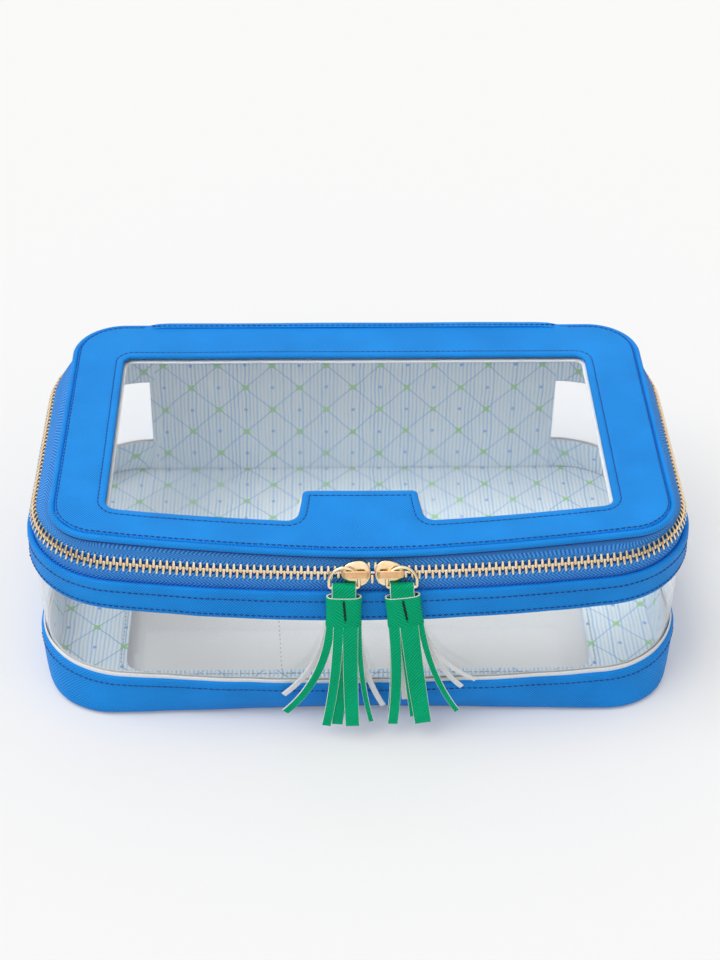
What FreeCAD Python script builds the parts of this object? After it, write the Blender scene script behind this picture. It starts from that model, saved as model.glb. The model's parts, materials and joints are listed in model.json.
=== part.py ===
import FreeCAD, Part
import math
import os
import Sketcher
from FreeCAD import Placement, Rotation, Vector

doc = FreeCAD.newDocument("tile_bag")
sheet = doc.addObject("Spreadsheet::Sheet", "dims")

# Every size of the case, in millimetres and degrees.
sizes = {
    "case_width": 260,
    "case_depth": 160,
    "corner_radius": 40,
    "zip_height": 70.5,
    "front_bow": 12.6,
    "floor_bow": 4,
    "side_lean": 1.2,
    "front_lean": -2.5,
    "band_wall": 2,
    "vinyl": 0.8,
    "fabric": 0.5,
    "tape": 0.6,
    "seam_gap": 0.1,
    "run_gap": 0.3,
    "lower_band_height": 18,
    "wall_tuck": 5,
    "upper_band_height": 12.8,
    "tape_show": 7.5,
    "lining_rise": 1.2,
    "floor_thickness": 2,
    "floor_border": 24,
    "floor_window_radius": 6,
    "back_overlap": 6,
    "lid_rise": 10.5,
    "lid_thickness": 2,
    "lid_side_inset": 9.2,
    "lid_front_inset": 4.4,
    "lid_back_inset": 2.2,
    "lid_corner_radius": 26,
    "piping_radius": 1.3,
    "piping_sink": 0.3,
    "lid_border_side": 22.8,
    "lid_border_back": 24.5,
    "lid_border_front": 20.6,
    "window_corner": 4,
    "tab_width": 47,
    "tab_reach": 16,
    "tooth_pitch": 2.54,
    "tooth_length": 1.1,
    "tooth_reach": 3,
    "tooth_bite": 0.7,
    "tooth_half": 1.2,
    "tape_edge": 1.3,
    "tape_fold": 1.7,
    "chain_end": 12,
    "slider_length": 11,
    "slider_nose": 9.5,
    "slider_tail": 8.6,
    "slider_plate": 1.2,
    "plate_corner": 1,
    "nose_corner": 1.6,
    "nose_flat": 2,
    "waist": 0.5,
    "slider_post": 2,
    "post_length": 1.8,
    "post_setback": 1.3,
    "post_taper": 0.4,
    "rail_reach": 1.1,
    "tunnel": 3.2,
    "bridge_bar": 1.2,
    "bridge_width": 1.6,
    "bridge_post": 1.3,
    "bridge_corner": 0.8,
    "tail_setback": 0.3,
    "nose_setback": 1.3,
    "meeting_offset": 4,
    "nose_gap": 1.6,
    "ring_wire": 1.3,
    "ring_corner": 0.9,
    "ring_straight": 1.35,
    "ring_tilt": 9,
    "ring_drop": 3,
    "strap_width": 9,
    "strap_room": 0.25,
    "strap": 1,
    "strap_drop": 4.7,
    "head_width": 13.9,
    "head_depth": 5.2,
    "head_height": 12.4,
    "strip_width": 3.1,
    "strip": 1,
    "strip_gap": 0.35,
    "fringe_fan": 3,
    "fringe_lift": 1.5,
    "floor_clearance": 3,
}
for row, (alias, number) in enumerate(sizes.items(), start=1):
    sheet.set("A%d" % row, alias)
    sheet.set("B%d" % row, str(number))
    sheet.setAlias("B%d" % row, alias)
doc.recompute()


def value(expression):
    return float(sheet.evalExpression(expression))


def plane(body, role):
    return [feature for feature in body.Origin.OriginFeatures if feature.Role == role][0]


def new_body(label):
    body = doc.addObject("PartDesign::Body", label)
    body.Label = label
    return body


def new_sketch(body, name, role="XY_Plane", level="0"):
    sketch = body.newObject("Sketcher::SketchObject", body.Name + "_" + name)
    sketch.AttachmentSupport = (plane(body, role), [""])
    sketch.MapMode = "FlatFace"
    sketch.AttachmentOffset = Placement(Vector(0, 0, value(level)), Rotation())
    sketch.setExpression("AttachmentOffset.Base.z", level)
    return sketch


def drive(sketch, kind, *rest):
    # The last item is the expression that drives the constraint.
    places = rest[:-1]
    expression = rest[-1]
    index = sketch.addConstraint(Sketcher.Constraint(kind, *places, value(expression)))
    sketch.setExpression("Constraints[%d]" % index, expression)


def pad(body, sketch, length, reverse=False, middle=False):
    feature = body.newObject("PartDesign::Pad", sketch.Name + "_pad")
    feature.Profile = sketch
    feature.Length = value(length)
    feature.setExpression("Length", length)
    feature.Reversed = reverse
    feature.Midplane = middle
    sketch.Visibility = False
    body.Tip = feature
    return feature


def cut_through(body, sketch):
    feature = body.newObject("PartDesign::Pocket", sketch.Name + "_cut")
    feature.Profile = sketch
    feature.Type = "ThroughAll"
    feature.Midplane = True
    body.Tip = feature
    return feature


def outline(half_width, back, reach, corner, bow, inset="0"):
    # A rounded plan outline: straight back and sides, one arc across the front.
    radius = "(((%s)^2 + (%s)^2) / (2 * (%s)))" % (half_width, bow, bow)
    return {
        "half_width": "(%s - (%s))" % (half_width, inset),
        "back": "(%s - (%s))" % (back, inset),
        "corner": "(%s - (%s))" % (corner, inset),
        "radius": "(%s - (%s))" % (radius, inset),
        "centre": "(%s - (%s))" % (radius, reach),
    }


def case_outline(level, inset="0"):
    share = "(1 - (%s) / dims.zip_height)" % level
    return outline(
        "(dims.case_width / 2 - dims.side_lean * %s)" % share,
        "(dims.case_depth / 2)",
        "(dims.case_depth / 2 - dims.front_lean * %s)" % share,
        "dims.corner_radius",
        "(dims.front_bow - (dims.front_bow - dims.floor_bow) * %s)" % share,
        inset,
    )


def lid_outline(inset="0"):
    return outline(
        "(dims.case_width / 2 - dims.lid_side_inset)",
        "(dims.case_depth / 2 - dims.lid_back_inset)",
        "(dims.case_depth / 2 - dims.lid_front_inset)",
        "dims.lid_corner_radius",
        "dims.front_bow",
        inset,
    )


def outline_numbers(shape):
    numbers = {key: value(expression) for key, expression in shape.items()}
    across = numbers["half_width"] - numbers["corner"]
    span = numbers["radius"] - numbers["corner"]
    numbers["across"] = across
    numbers["front_corner"] = numbers["centre"] - math.sqrt(span ** 2 - across ** 2)
    numbers["turn"] = math.atan2(numbers["front_corner"] - numbers["centre"], across)
    return numbers


def draw_outline(sketch, shape):
    n = outline_numbers(shape)
    up = Vector(0, 0, 1)
    across = n["across"]
    turn = n["turn"]
    back_corner = n["back"] - n["corner"]

    def arc(x, y, radius, start, end):
        return Part.ArcOfCircle(Part.Circle(Vector(x, y, 0), up, radius), start, end)

    def line(x0, y0, x1, y1):
        return Part.LineSegment(Vector(x0, y0, 0), Vector(x1, y1, 0))

    first = sketch.GeometryCount
    sketch.addGeometry([
        line(n["half_width"], n["front_corner"], n["half_width"], back_corner),
        arc(across, back_corner, n["corner"], 0, math.pi / 2),
        line(across, n["back"], -across, n["back"]),
        arc(-across, back_corner, n["corner"], math.pi / 2, math.pi),
        line(-n["half_width"], back_corner, -n["half_width"], n["front_corner"]),
        arc(-across, n["front_corner"], n["corner"], math.pi, math.pi * 2 - (math.pi + turn)),
        arc(0, n["centre"], n["radius"], math.pi - turn, math.pi * 2 + turn),
        arc(across, n["front_corner"], n["corner"], math.pi * 2 + turn, math.pi * 2),
    ])
    right, back_right, back, back_left, left, front_left, front, front_right = range(first, first + 8)
    loop = [right, back_right, back, back_left, left, front_left, front, front_right]
    for here, after in zip(loop, loop[1:] + loop[:1]):
        sketch.addConstraint(Sketcher.Constraint("Tangent", here, 2, after, 1))
    sketch.addConstraint(Sketcher.Constraint("Vertical", right))
    sketch.addConstraint(Sketcher.Constraint("Vertical", left))
    sketch.addConstraint(Sketcher.Constraint("Horizontal", back))
    for corner in (back_left, front_left, front_right):
        sketch.addConstraint(Sketcher.Constraint("Equal", back_right, corner))
    sketch.addConstraint(Sketcher.Constraint("PointOnObject", front, 3, -2))
    drive(sketch, "DistanceX", -1, 1, right, 1, shape["half_width"])
    drive(sketch, "DistanceX", left, 1, -1, 1, shape["half_width"])
    drive(sketch, "DistanceY", -1, 1, back, 1, shape["back"])
    drive(sketch, "Radius", back_right, shape["corner"])
    drive(sketch, "Radius", front, shape["radius"])
    drive(sketch, "DistanceY", -1, 1, front, 3, shape["centre"])


def draw_box(sketch, left, right, low, high):
    # A rectangle whose four sides are each driven from the origin.
    x0, x1, y0, y1 = value(left), value(right), value(low), value(high)
    corners = [Vector(x0, y0, 0), Vector(x1, y0, 0), Vector(x1, y1, 0), Vector(x0, y1, 0)]
    first = sketch.GeometryCount
    sketch.addGeometry([Part.LineSegment(corners[i], corners[(i + 1) % 4]) for i in range(4)])
    for i in range(4):
        sketch.addConstraint(Sketcher.Constraint("Coincident", first + i, 2, first + (i + 1) % 4, 1))
        sketch.addConstraint(Sketcher.Constraint("Horizontal" if i % 2 == 0 else "Vertical", first + i))
    for axis, side, expression in (
        ("DistanceX", first + 3, left),
        ("DistanceX", first + 1, right),
        ("DistanceY", first, low),
        ("DistanceY", first + 2, high),
    ):
        if value(expression) < 0:
            drive(sketch, axis, side, 1, -1, 1, "-(%s)" % expression)
        else:
            drive(sketch, axis, -1, 1, side, 1, expression)


def draw_rounded_path(sketch, corners, radius):
    # A closed run of horizontal and vertical sides with every corner rounded.
    count = len(corners)
    points = [Vector(value(x), value(y), 0) for x, y in corners]
    round_off = value(radius)
    sides = []
    arcs = []
    for i in range(count):
        here, after = points[i], points[(i + 1) % count]
        along = (after - here).normalize()
        sides.append(Part.LineSegment(here + along * round_off, after - along * round_off))
    for i in range(count):
        before, here, after = points[i - 1], points[i], points[(i + 1) % count]
        come = (here - before).normalize()
        leave = (after - here).normalize()
        centre = here - come * round_off + leave * round_off
        start = here - come * round_off
        end = here + leave * round_off
        turn_left = come.x * leave.y - come.y * leave.x > 0
        first_point, last_point = (start, end) if turn_left else (end, start)
        begin = math.atan2(first_point.y - centre.y, first_point.x - centre.x)
        finish = math.atan2(last_point.y - centre.y, last_point.x - centre.x)
        if finish < begin:
            finish += math.pi * 2
        circle = Part.Circle(centre, Vector(0, 0, 1), round_off)
        arcs.append((Part.ArcOfCircle(circle, begin, finish), turn_left))
    first = sketch.GeometryCount
    sketch.addGeometry(sides)
    sketch.addGeometry([arc for arc, turn_left in arcs])
    for i in range(count):
        corner = first + count + i
        enter, leave = (1, 2) if arcs[i][1] else (2, 1)
        sketch.addConstraint(Sketcher.Constraint("Tangent", first + (i - 1) % count, 2, corner, enter))
        sketch.addConstraint(Sketcher.Constraint("Tangent", corner, leave, first + i, 1))
        if i:
            sketch.addConstraint(Sketcher.Constraint("Equal", first + count, corner))
    drive(sketch, "Radius", first + count, radius)
    for i in range(count):
        level = abs(points[i].y - points[(i + 1) % count].y) < 1e-6
        sketch.addConstraint(Sketcher.Constraint("Horizontal" if level else "Vertical", first + i))
        axis = "DistanceY" if level else "DistanceX"
        expression = corners[i][1] if level else corners[i][0]
        if value(expression) < 0:
            drive(sketch, axis, first + i, 1, -1, 1, "-(%s)" % expression)
        else:
            drive(sketch, axis, -1, 1, first + i, 1, expression)


def draw_polygon(sketch, corners):
    # A closed polygon with every corner driven from the origin, corners on an axis lying on it.
    points = [Vector(value(x), value(y), 0) for x, y in corners]
    count = len(points)
    first = sketch.GeometryCount
    sketch.addGeometry([Part.LineSegment(points[i], points[(i + 1) % count]) for i in range(count)])
    for i in range(count):
        sketch.addConstraint(Sketcher.Constraint("Coincident", first + i, 2, first + (i + 1) % count, 1))
    for i, (x, y) in enumerate(corners):
        for axis, expression, line in (("DistanceX", x, -2), ("DistanceY", y, -1)):
            size = value(expression)
            if abs(size) < 1e-9:
                sketch.addConstraint(Sketcher.Constraint("PointOnObject", first + i, 1, line))
            elif size < 0:
                drive(sketch, axis, first + i, 1, -1, 1, "-(%s)" % expression)
            else:
                drive(sketch, axis, -1, 1, first + i, 1, expression)


def ring_wall(label, sections):
    # A closed wall lofted through (level, outer outline, inner outline) sections.
    body = new_body(label)
    sketches = []
    for i, (level, outer, inner) in enumerate(sections):
        sketch = new_sketch(body, "section%d" % i, "XY_Plane", level)
        draw_outline(sketch, outer)
        draw_outline(sketch, inner)
        sketches.append(sketch)
    doc.recompute()
    loft = body.newObject("PartDesign::AdditiveLoft", label + "_loft")
    loft.Profile = sketches[0]
    loft.Sections = sketches[1:]
    loft.Ruled = True
    body.Tip = loft
    return body


def case_wall(label, low, high, outer, inner):
    return ring_wall(label, [
        (low, case_outline(low, outer), case_outline(low, inner)),
        (high, case_outline(high, outer), case_outline(high, inner)),
    ])


def open_back(body, half_width):
    # Cuts the straight part of the back out of a wall.
    sketch = new_sketch(body, "back")
    draw_box(sketch, "-(%s)" % half_width, half_width, "dims.case_depth / 4", "dims.case_depth")
    cut_through(body, sketch)


half_depth = "(dims.case_depth / 2)"
chain_inset = "(dims.band_wall + dims.seam_gap + dims.tape / 2)"
tape_outer = "(dims.band_wall + dims.seam_gap)"
tape_inner = "(dims.band_wall + dims.seam_gap + dims.tape)"
lining_outer = "(dims.band_wall + dims.seam_gap * 2 + dims.vinyl)"
lining_inner = "(dims.band_wall + dims.seam_gap * 2 + dims.vinyl + dims.fabric)"
floor_top = "(dims.floor_thickness + dims.seam_gap * 2 + dims.vinyl + dims.fabric)"
panel_half = "(dims.case_width / 2 - dims.corner_radius)"
lining_half = "(%s - dims.back_overlap)" % panel_half
band_top = "(dims.zip_height - dims.tape_show)"
band_foot = "(%s - dims.upper_band_height)" % band_top
lid_top = "(dims.zip_height + dims.lid_rise)"
row_spread = "(dims.slider_post / 2 + dims.tooth_bite + dims.seam_gap * 2)"
apart_start = "((dims.slider_length + dims.nose_gap) / 2 + dims.rail_reach)"
post_back = "(dims.slider_length / 2 - dims.post_setback - dims.post_length)"
apart_run = "(%s + dims.rail_reach - dims.tooth_length / 2)" % post_back
lid_under = "(%s - dims.lid_thickness)" % lid_top
piping_level = "(%s - dims.piping_radius - dims.piping_sink)" % lid_top
piping_foot = "(%s - dims.piping_radius - dims.seam_gap)" % piping_level
nodes = []


def keep(item, placement=None):
    nodes.append((item, placement))
    return item


# Floor of the case: a blue frame, a clear sheet over its middle, a fabric frame on top.
def floor_sheet(label, level, thickness, inset, has_window):
    body = new_body(label)
    sketch = new_sketch(body, "plan", "XY_Plane", level)
    draw_outline(sketch, case_outline("0", inset))
    pad(body, sketch, thickness)
    if has_window:
        window = new_sketch(body, "window", "XY_Plane", level)
        half = "(dims.case_width / 2 - dims.side_lean - dims.floor_border)"
        front = "-(dims.case_depth / 2 - dims.front_lean - dims.floor_border)"
        rear = "(dims.case_depth / 2 - dims.floor_border)"
        corners = [("-" + half, front), (half, front), (half, rear), ("-" + half, rear)]
        draw_rounded_path(window, corners, "dims.floor_window_radius")
        cut_through(body, window)
    return keep(body)


inner_floor = "(dims.band_wall + dims.seam_gap * 3)"
floor_panel = floor_sheet("floor_panel", "0", "dims.floor_thickness", tape_outer, True)
floor_window = floor_sheet(
    "floor_window", "(dims.floor_thickness + dims.seam_gap)", "dims.vinyl", inner_floor, False)
floor_lining = floor_sheet(
    "floor_lining", "(dims.floor_thickness + dims.seam_gap * 2 + dims.vinyl)", "dims.fabric",
    inner_floor, True)

# Walls of the case, from the foot up.
lower_band = keep(case_wall("lower_band", "0", "dims.lower_band_height", "0", "dims.band_wall"))
open_back(lower_band, "(%s + dims.seam_gap)" % panel_half)
band_lining = keep(case_wall(
    "band_lining", "(%s + dims.seam_gap * 2)" % floor_top,
    "(dims.lower_band_height + dims.lining_rise)", lining_outer, lining_inner))
open_back(band_lining, "(%s + dims.seam_gap * 2)" % lining_half)
wall_top = "(%s + dims.wall_tuck - dims.run_gap * 2)" % band_foot
wall_window = keep(ring_wall("wall_window", [
    (level, case_outline(level, tape_outer), case_outline(level, "(%s + dims.vinyl)" % tape_outer))
    for level in ("dims.wall_tuck", "((dims.wall_tuck + %s) / 2)" % wall_top, wall_top)
]))
open_back(wall_window, lining_half)
upper_band = keep(case_wall("upper_band", band_foot, band_top, "0", "dims.band_wall"))
open_back(upper_band, "(%s + dims.seam_gap)" % panel_half)
tape_straight = "(dims.zip_height - dims.tooth_reach - dims.tape_fold)"
tape_foot = "(%s + dims.wall_tuck)" % band_foot
base_tape = keep(ring_wall("base_tape", [
    (level, case_outline(lean, tape_outer), case_outline(lean, tape_inner)) for level, lean in (
        (tape_foot, tape_foot), (band_top, band_top), (tape_straight, "dims.zip_height"),
        ("(dims.zip_height - dims.tape_edge)", "dims.zip_height"))
]))
open_back(base_tape, "(%s + dims.seam_gap)" % panel_half)


# Where the rows stand apart inside the sliders, the edge of each tape gives way by the same amount.
def part_tape(body, direction):
    wide = "(%s + dims.tooth_length)" % apart_start
    close = "(%s - %s + dims.tooth_length)" % (apart_start, apart_run)
    edge = "(dims.zip_height + %d * dims.tape_edge)" % direction
    deep = "(%s + %d * (%s + dims.seam_gap))" % (edge, direction, row_spread)
    clear = "(%s - %d * dims.tape_edge)" % (edge, direction)
    sketch = new_sketch(body, "parting", "XZ_Plane", half_depth)
    draw_polygon(sketch, [
        ("dims.meeting_offset - %s" % wide, clear), ("dims.meeting_offset - %s" % wide, edge),
        ("dims.meeting_offset - %s" % close, deep), ("dims.meeting_offset + %s" % close, deep),
        ("dims.meeting_offset + %s" % wide, edge), ("dims.meeting_offset + %s" % wide, clear),
    ])
    feature = body.newObject("PartDesign::Pocket", body.Name + "_parting_cut")
    feature.Profile = sketch
    feature.Length = value("dims.case_depth / 4")
    feature.setExpression("Length", "dims.case_depth / 4")
    body.Tip = feature


part_tape(base_tape, -1)


def back_plate(label, half, low, high, outer, thickness):
    body = new_body(label)
    sketch = new_sketch(body, "face", "XZ_Plane")
    draw_box(sketch, "-(%s)" % half, half, low, high)
    pad(body, sketch, thickness)
    reach = "(%s - (%s))" % (half_depth, outer)
    sketch.setExpression("AttachmentOffset.Base.z", "-" + reach)
    return keep(body)


back_panel = back_plate(
    "back_panel", panel_half, "0", "(dims.zip_height - dims.run_gap)", "0", "dims.band_wall")
back_lining = back_plate(
    "back_lining", lining_half, "(%s + dims.seam_gap * 2)" % floor_top,
    "(dims.zip_height - dims.run_gap * 5)", lining_outer, "dims.fabric")
hinge_strip = back_plate(
    "hinge_strip", "(%s - dims.seam_gap * 2)" % lining_half, tape_foot,
    "(%s - dims.run_gap)" % piping_foot, tape_outer, "dims.vinyl")

# Lid: frame, clear window, facing, rolled edge, zip tape and the lid's half of the hinge.
window_half = "(dims.case_width / 2 - dims.lid_side_inset - dims.lid_border_side)"
window_front = "-(dims.case_depth / 2 - dims.lid_front_inset - dims.lid_border_front)"
window_back = "(dims.case_depth / 2 - dims.lid_back_inset - dims.lid_border_back)"
tab_half = "(dims.tab_width / 2)"
tab_back = "(%s + dims.tab_reach)" % window_front
window_corners = [
    ("-" + window_half, window_front), ("-" + tab_half, window_front), ("-" + tab_half, tab_back),
    (tab_half, tab_back), (tab_half, window_front), (window_half, window_front),
    (window_half, window_back), ("-" + window_half, window_back),
]


def lid_sheet(label, level, thickness, inset, has_window):
    body = new_body(label)
    sketch = new_sketch(body, "plan", "XY_Plane", level)
    draw_outline(sketch, lid_outline(inset))
    pad(body, sketch, thickness)
    if has_window:
        window = new_sketch(body, "window", "XY_Plane", level)
        draw_rounded_path(window, window_corners, "dims.window_corner")
        cut_through(body, window)
    return keep(body)


inside_piping = "(dims.piping_radius + dims.seam_gap)"
lid_panel = lid_sheet("lid_panel", lid_under, "dims.lid_thickness", inside_piping, True)
lid_window = lid_sheet(
    "lid_window", "(%s - dims.seam_gap - dims.vinyl)" % lid_under, "dims.vinyl",
    "(dims.piping_radius + dims.seam_gap * 3)", False)
lid_lining = lid_sheet(
    "lid_lining", "(%s - dims.seam_gap * 2 - dims.vinyl - dims.fabric)" % lid_under, "dims.fabric",
    "(dims.piping_radius + dims.seam_gap * 3)", True)

narrow = "(dims.piping_radius * tan(22.5))"
roll = "dims.piping_radius"
lid_piping = keep(ring_wall("lid_piping", [
    ("(%s - %s)" % (piping_level, roll), lid_outline("-" + narrow), lid_outline(narrow)),
    ("(%s - %s)" % (piping_level, narrow), lid_outline("-" + roll), lid_outline(roll)),
    ("(%s + %s)" % (piping_level, narrow), lid_outline("-" + roll), lid_outline(roll)),
    ("(%s + %s)" % (piping_level, roll), lid_outline("-" + narrow), lid_outline(narrow)),
]))

tape_fold = "(dims.zip_height + dims.tooth_reach + dims.tape_fold)"
lid_tape = keep(ring_wall("lid_tape", [
    ("(dims.zip_height + dims.tape_edge)", case_outline("dims.zip_height", tape_outer),
     case_outline("dims.zip_height", tape_inner)),
    (tape_fold, case_outline("dims.zip_height", tape_outer),
     case_outline("dims.zip_height", tape_inner)),
    (piping_foot, lid_outline("-dims.tape"), lid_outline("dims.tape")),
]))
open_back(lid_tape, "(%s + dims.seam_gap)" % panel_half)
part_tape(lid_tape, 1)
lid_flap = back_plate(
    "lid_flap", panel_half, "(dims.zip_height + dims.run_gap)", piping_foot, "0", "dims.band_wall")


# Zip teeth: each tooth hooks over the edge of its tape, the two rows half a pitch apart.
def chain_run():
    # Points and headings along the chain, from the front arc out to both back corners.
    n = outline_numbers(case_outline("dims.zip_height", chain_inset))
    half_front = math.pi / 2 + n["turn"]
    front_length = n["radius"] * half_front
    corner_length = n["corner"] * (math.pi / 2 - half_front)
    side_length = (n["back"] - n["corner"]) - n["front_corner"]
    back_length = n["corner"] * math.pi / 2 - value("dims.chain_end")
    total = front_length + corner_length + side_length + back_length

    def locate(distance):
        # Distance is measured from the crown of the front, positive to the right.
        side = 1 if distance >= 0 else -1
        run = abs(distance)
        if run <= front_length:
            angle = run / n["radius"]
            x, y = n["radius"] * math.sin(angle), n["centre"] - n["radius"] * math.cos(angle)
        elif run <= front_length + corner_length:
            angle = half_front + (run - front_length) / n["corner"]
            x = n["across"] + n["corner"] * math.sin(angle)
            y = n["front_corner"] - n["corner"] * math.cos(angle)
        elif run <= front_length + corner_length + side_length:
            angle = math.pi / 2
            x, y = n["half_width"], n["front_corner"] + run - front_length - corner_length
        else:
            angle = math.pi / 2 + (run - front_length - corner_length - side_length) / n["corner"]
            x = n["across"] + n["corner"] * math.sin(angle)
            y = n["back"] - n["corner"] - n["corner"] * math.cos(angle)
        return Vector(side * x, y, 0), side * math.degrees(angle)

    return locate, total


def make_teeth(label, above):
    locate, total = chain_run()
    pitch = value("dims.tooth_pitch")
    half = value("dims.tooth_half")
    bite = value("dims.tooth_bite")
    leg = value("dims.tape / 2 + dims.seam_gap")
    edge = value("dims.tape_edge - dims.seam_gap")
    reach = value("dims.tooth_reach")
    length = value("dims.tooth_length")
    flip = -1 if above else 1
    profile = [(-half, -reach), (-half, bite), (half, bite), (half, -edge), (-leg, -edge)]
    corners = [Vector(-length / 2, y, flip * z) for y, z in profile]
    wire = Part.makePolygon(corners + corners[:1])
    tooth = Part.Face(wire).extrude(Vector(length, 0, 0))
    meeting = value("dims.meeting_offset")
    spread = value(row_spread)
    start = value(apart_start)
    run = value(apart_run)
    teeth = []
    count = int(total / pitch)
    for i in range(-count, count + 1):
        distance = pitch * (i + (0.5 if above else 0))
        if abs(distance) > total:
            continue
        point, heading = locate(distance)
        # Inside the sliders and between their noses the two rows stand apart.
        part_way = min(max((start - abs(distance - meeting)) / run, 0), 1)
        lift = -flip * spread * part_way * part_way * (3 - 2 * part_way)
        point.z = value("dims.zip_height") + lift
        seat = Placement(point, Rotation(Vector(0, 0, 1), heading))
        teeth.append(tooth.transformed(seat.toMatrix()))
    row = doc.addObject("Part::Feature", label)
    row.Label = label
    row.Shape = Part.makeCompound(teeth)
    return keep(row)


base_teeth = make_teeth("base_teeth", False)
lid_teeth = make_teeth("lid_teeth", True)

# Sliders, drawn with the nose toward +X, the outer face toward -Y and the chain along X.
plate_in = "(dims.tooth_half + dims.run_gap)"
plate_out = "(dims.tooth_half + dims.run_gap + dims.slider_plate)"
slider_half = "(dims.slider_length / 2)"
tail_half = "(dims.slider_tail / 2)"
nose_half = "(dims.slider_nose / 2)"
tail_post = "(dims.tail_setback - dims.slider_length / 2)"
rail_in = "(dims.tooth_reach + dims.run_gap)"


def make_slider(label):
    body = new_body(label)
    end_in = "(dims.slider_length / 2 - dims.plate_corner)"
    shoulder = "(dims.slider_length / 2 - dims.plate_corner - dims.nose_flat)"
    tail_low = "(dims.slider_tail / 2 - dims.plate_corner)"
    nose_low = "(dims.slider_nose / 2 - dims.nose_corner)"
    plate = [
        ("-" + slider_half, "-" + tail_low), ("-" + end_in, "-" + tail_half),
        ("dims.waist", "-" + tail_half), (shoulder, "-" + nose_half),
        (end_in, "-" + nose_half), (slider_half, "-" + nose_low),
        (slider_half, nose_low), (end_in, nose_half), (shoulder, nose_half),
        ("dims.waist", tail_half), ("-" + end_in, tail_half), ("-" + slider_half, tail_low),
    ]
    for name, level in (("outer", plate_in), ("inner", "-" + plate_out)):
        sketch = new_sketch(body, name, "XZ_Plane", level)
        draw_polygon(sketch, plate)
        if name == "outer":
            pad(body, sketch, "dims.slider_plate")
            post = new_sketch(body, "post", "XZ_Plane", "-" + plate_in)
            end = "(dims.slider_length / 2 - dims.post_setback)"
            start = post_back
            narrow = "(dims.slider_post / 2 - dims.post_taper)"
            wide = "(dims.slider_post / 2)"
            draw_polygon(post, [(start, "-" + narrow), (end, "-" + wide), (end, wide), (start, narrow)])
            pad(body, post, "%s * 2" % plate_in)
        else:
            pad(body, sketch, "dims.slider_plate")
    rails = [("low", "-" + tail_half, "-" + rail_in), ("high", rail_in, tail_half)]
    for name, level in (("rail_outer", "dims.tape / 2 + dims.run_gap"), ("rail_inner", "-" + plate_in)):
        for side, low, high in rails:
            rail = new_sketch(body, name + "_" + side, "XZ_Plane", level)
            draw_box(rail, "-" + end_in, "-dims.rail_reach", low, high)
            pad(body, rail, "%s - dims.tape / 2 - dims.run_gap" % plate_in)
    bridge = new_sketch(body, "bridge", "XY_Plane")
    foot = "-" + plate_out
    under = "-(%s + dims.tunnel)" % plate_out
    crown = "-(%s + dims.tunnel + dims.bridge_bar)" % plate_out
    nose_end = "(dims.slider_length / 2 - dims.nose_setback)"
    draw_polygon(bridge, [
        (tail_post, foot), (tail_post, "%s + dims.bridge_corner" % crown),
        ("%s + dims.bridge_corner" % tail_post, crown), ("%s - dims.bridge_corner" % nose_end, crown),
        (nose_end, "%s + dims.bridge_corner" % crown), (nose_end, foot),
        ("%s - dims.bridge_post" % nose_end, foot), ("%s - dims.bridge_post" % nose_end, under),
        ("%s + dims.bridge_post" % tail_post, under), ("%s + dims.bridge_post" % tail_post, foot),
    ])
    pad(body, bridge, "dims.bridge_width", middle=True)
    return body


# Pull ring: an eight-sided wire bent to a D round the tail post of the bridge, straight side down.
# Its origin is the pivot on the post.
ring_clear = "(dims.ring_wire / 2 + dims.run_gap + dims.bridge_width / 2 * tan(dims.ring_tilt))"
pivot_out = "(%s + dims.tunnel - %s)" % (plate_out, ring_clear)
ring_side = "(dims.strap_width / 2 + dims.strap_room + dims.ring_corner)"


def make_ring(label):
    body = new_body(label)
    path = new_sketch(body, "path", "XZ_Plane")
    radius = value(ring_side)
    floor_line = -value("dims.ring_drop")
    knee = value("dims.ring_corner + dims.ring_straight - dims.ring_drop")
    small = value("dims.ring_corner")
    up = Vector(0, 0, 1)
    low_centre = floor_line + small
    inner = radius - small
    right_corner = Part.Circle(Vector(inner, low_centre, 0), up, small)
    left_corner = Part.Circle(Vector(-inner, low_centre, 0), up, small)
    path.addGeometry([
        Part.LineSegment(Vector(-inner, floor_line, 0), Vector(inner, floor_line, 0)),
        Part.ArcOfCircle(right_corner, -math.pi / 2, 0),
        Part.LineSegment(Vector(radius, low_centre, 0), Vector(radius, knee, 0)),
        Part.ArcOfCircle(Part.Circle(Vector(0, knee, 0), up, radius), 0, math.pi),
        Part.LineSegment(Vector(-radius, knee, 0), Vector(-radius, low_centre, 0)),
        Part.ArcOfCircle(left_corner, math.pi, math.pi * 1.5),
    ])
    for here in range(6):
        path.addConstraint(Sketcher.Constraint("Tangent", here, 2, (here + 1) % 6, 1))
    path.addConstraint(Sketcher.Constraint("Horizontal", 0))
    path.addConstraint(Sketcher.Constraint("Equal", 1, 5))
    path.addConstraint(Sketcher.Constraint("PointOnObject", 3, 3, -2))
    drive(path, "Radius", 3, ring_side)
    drive(path, "Radius", 1, "dims.ring_corner")
    drive(path, "DistanceY", 0, 1, -1, 1, "dims.ring_drop")
    drive(path, "DistanceY", 0, 1, 3, 3, "dims.ring_corner + dims.ring_straight")
    profile = new_sketch(body, "profile", "YZ_Plane")
    flat = "(dims.ring_wire / 2)"
    facet = "(dims.ring_wire / 2 * tan(22.5))"
    draw_polygon(profile, [
        (across, "%s - dims.ring_drop" % rise) for across, rise in (
            (flat, "-" + facet), (flat, facet), (facet, flat), ("-" + facet, flat),
            ("-" + flat, facet), ("-" + flat, "-" + facet), ("-" + facet, "-" + flat), (facet, "-" + flat))
    ])
    doc.recompute()
    sweep = body.newObject("PartDesign::AdditivePipe", label + "_sweep")
    sweep.Profile = profile
    sweep.Spine = (path, ["Edge%d" % (i + 1) for i in range(6)])
    body.Tip = sweep
    return body


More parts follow.
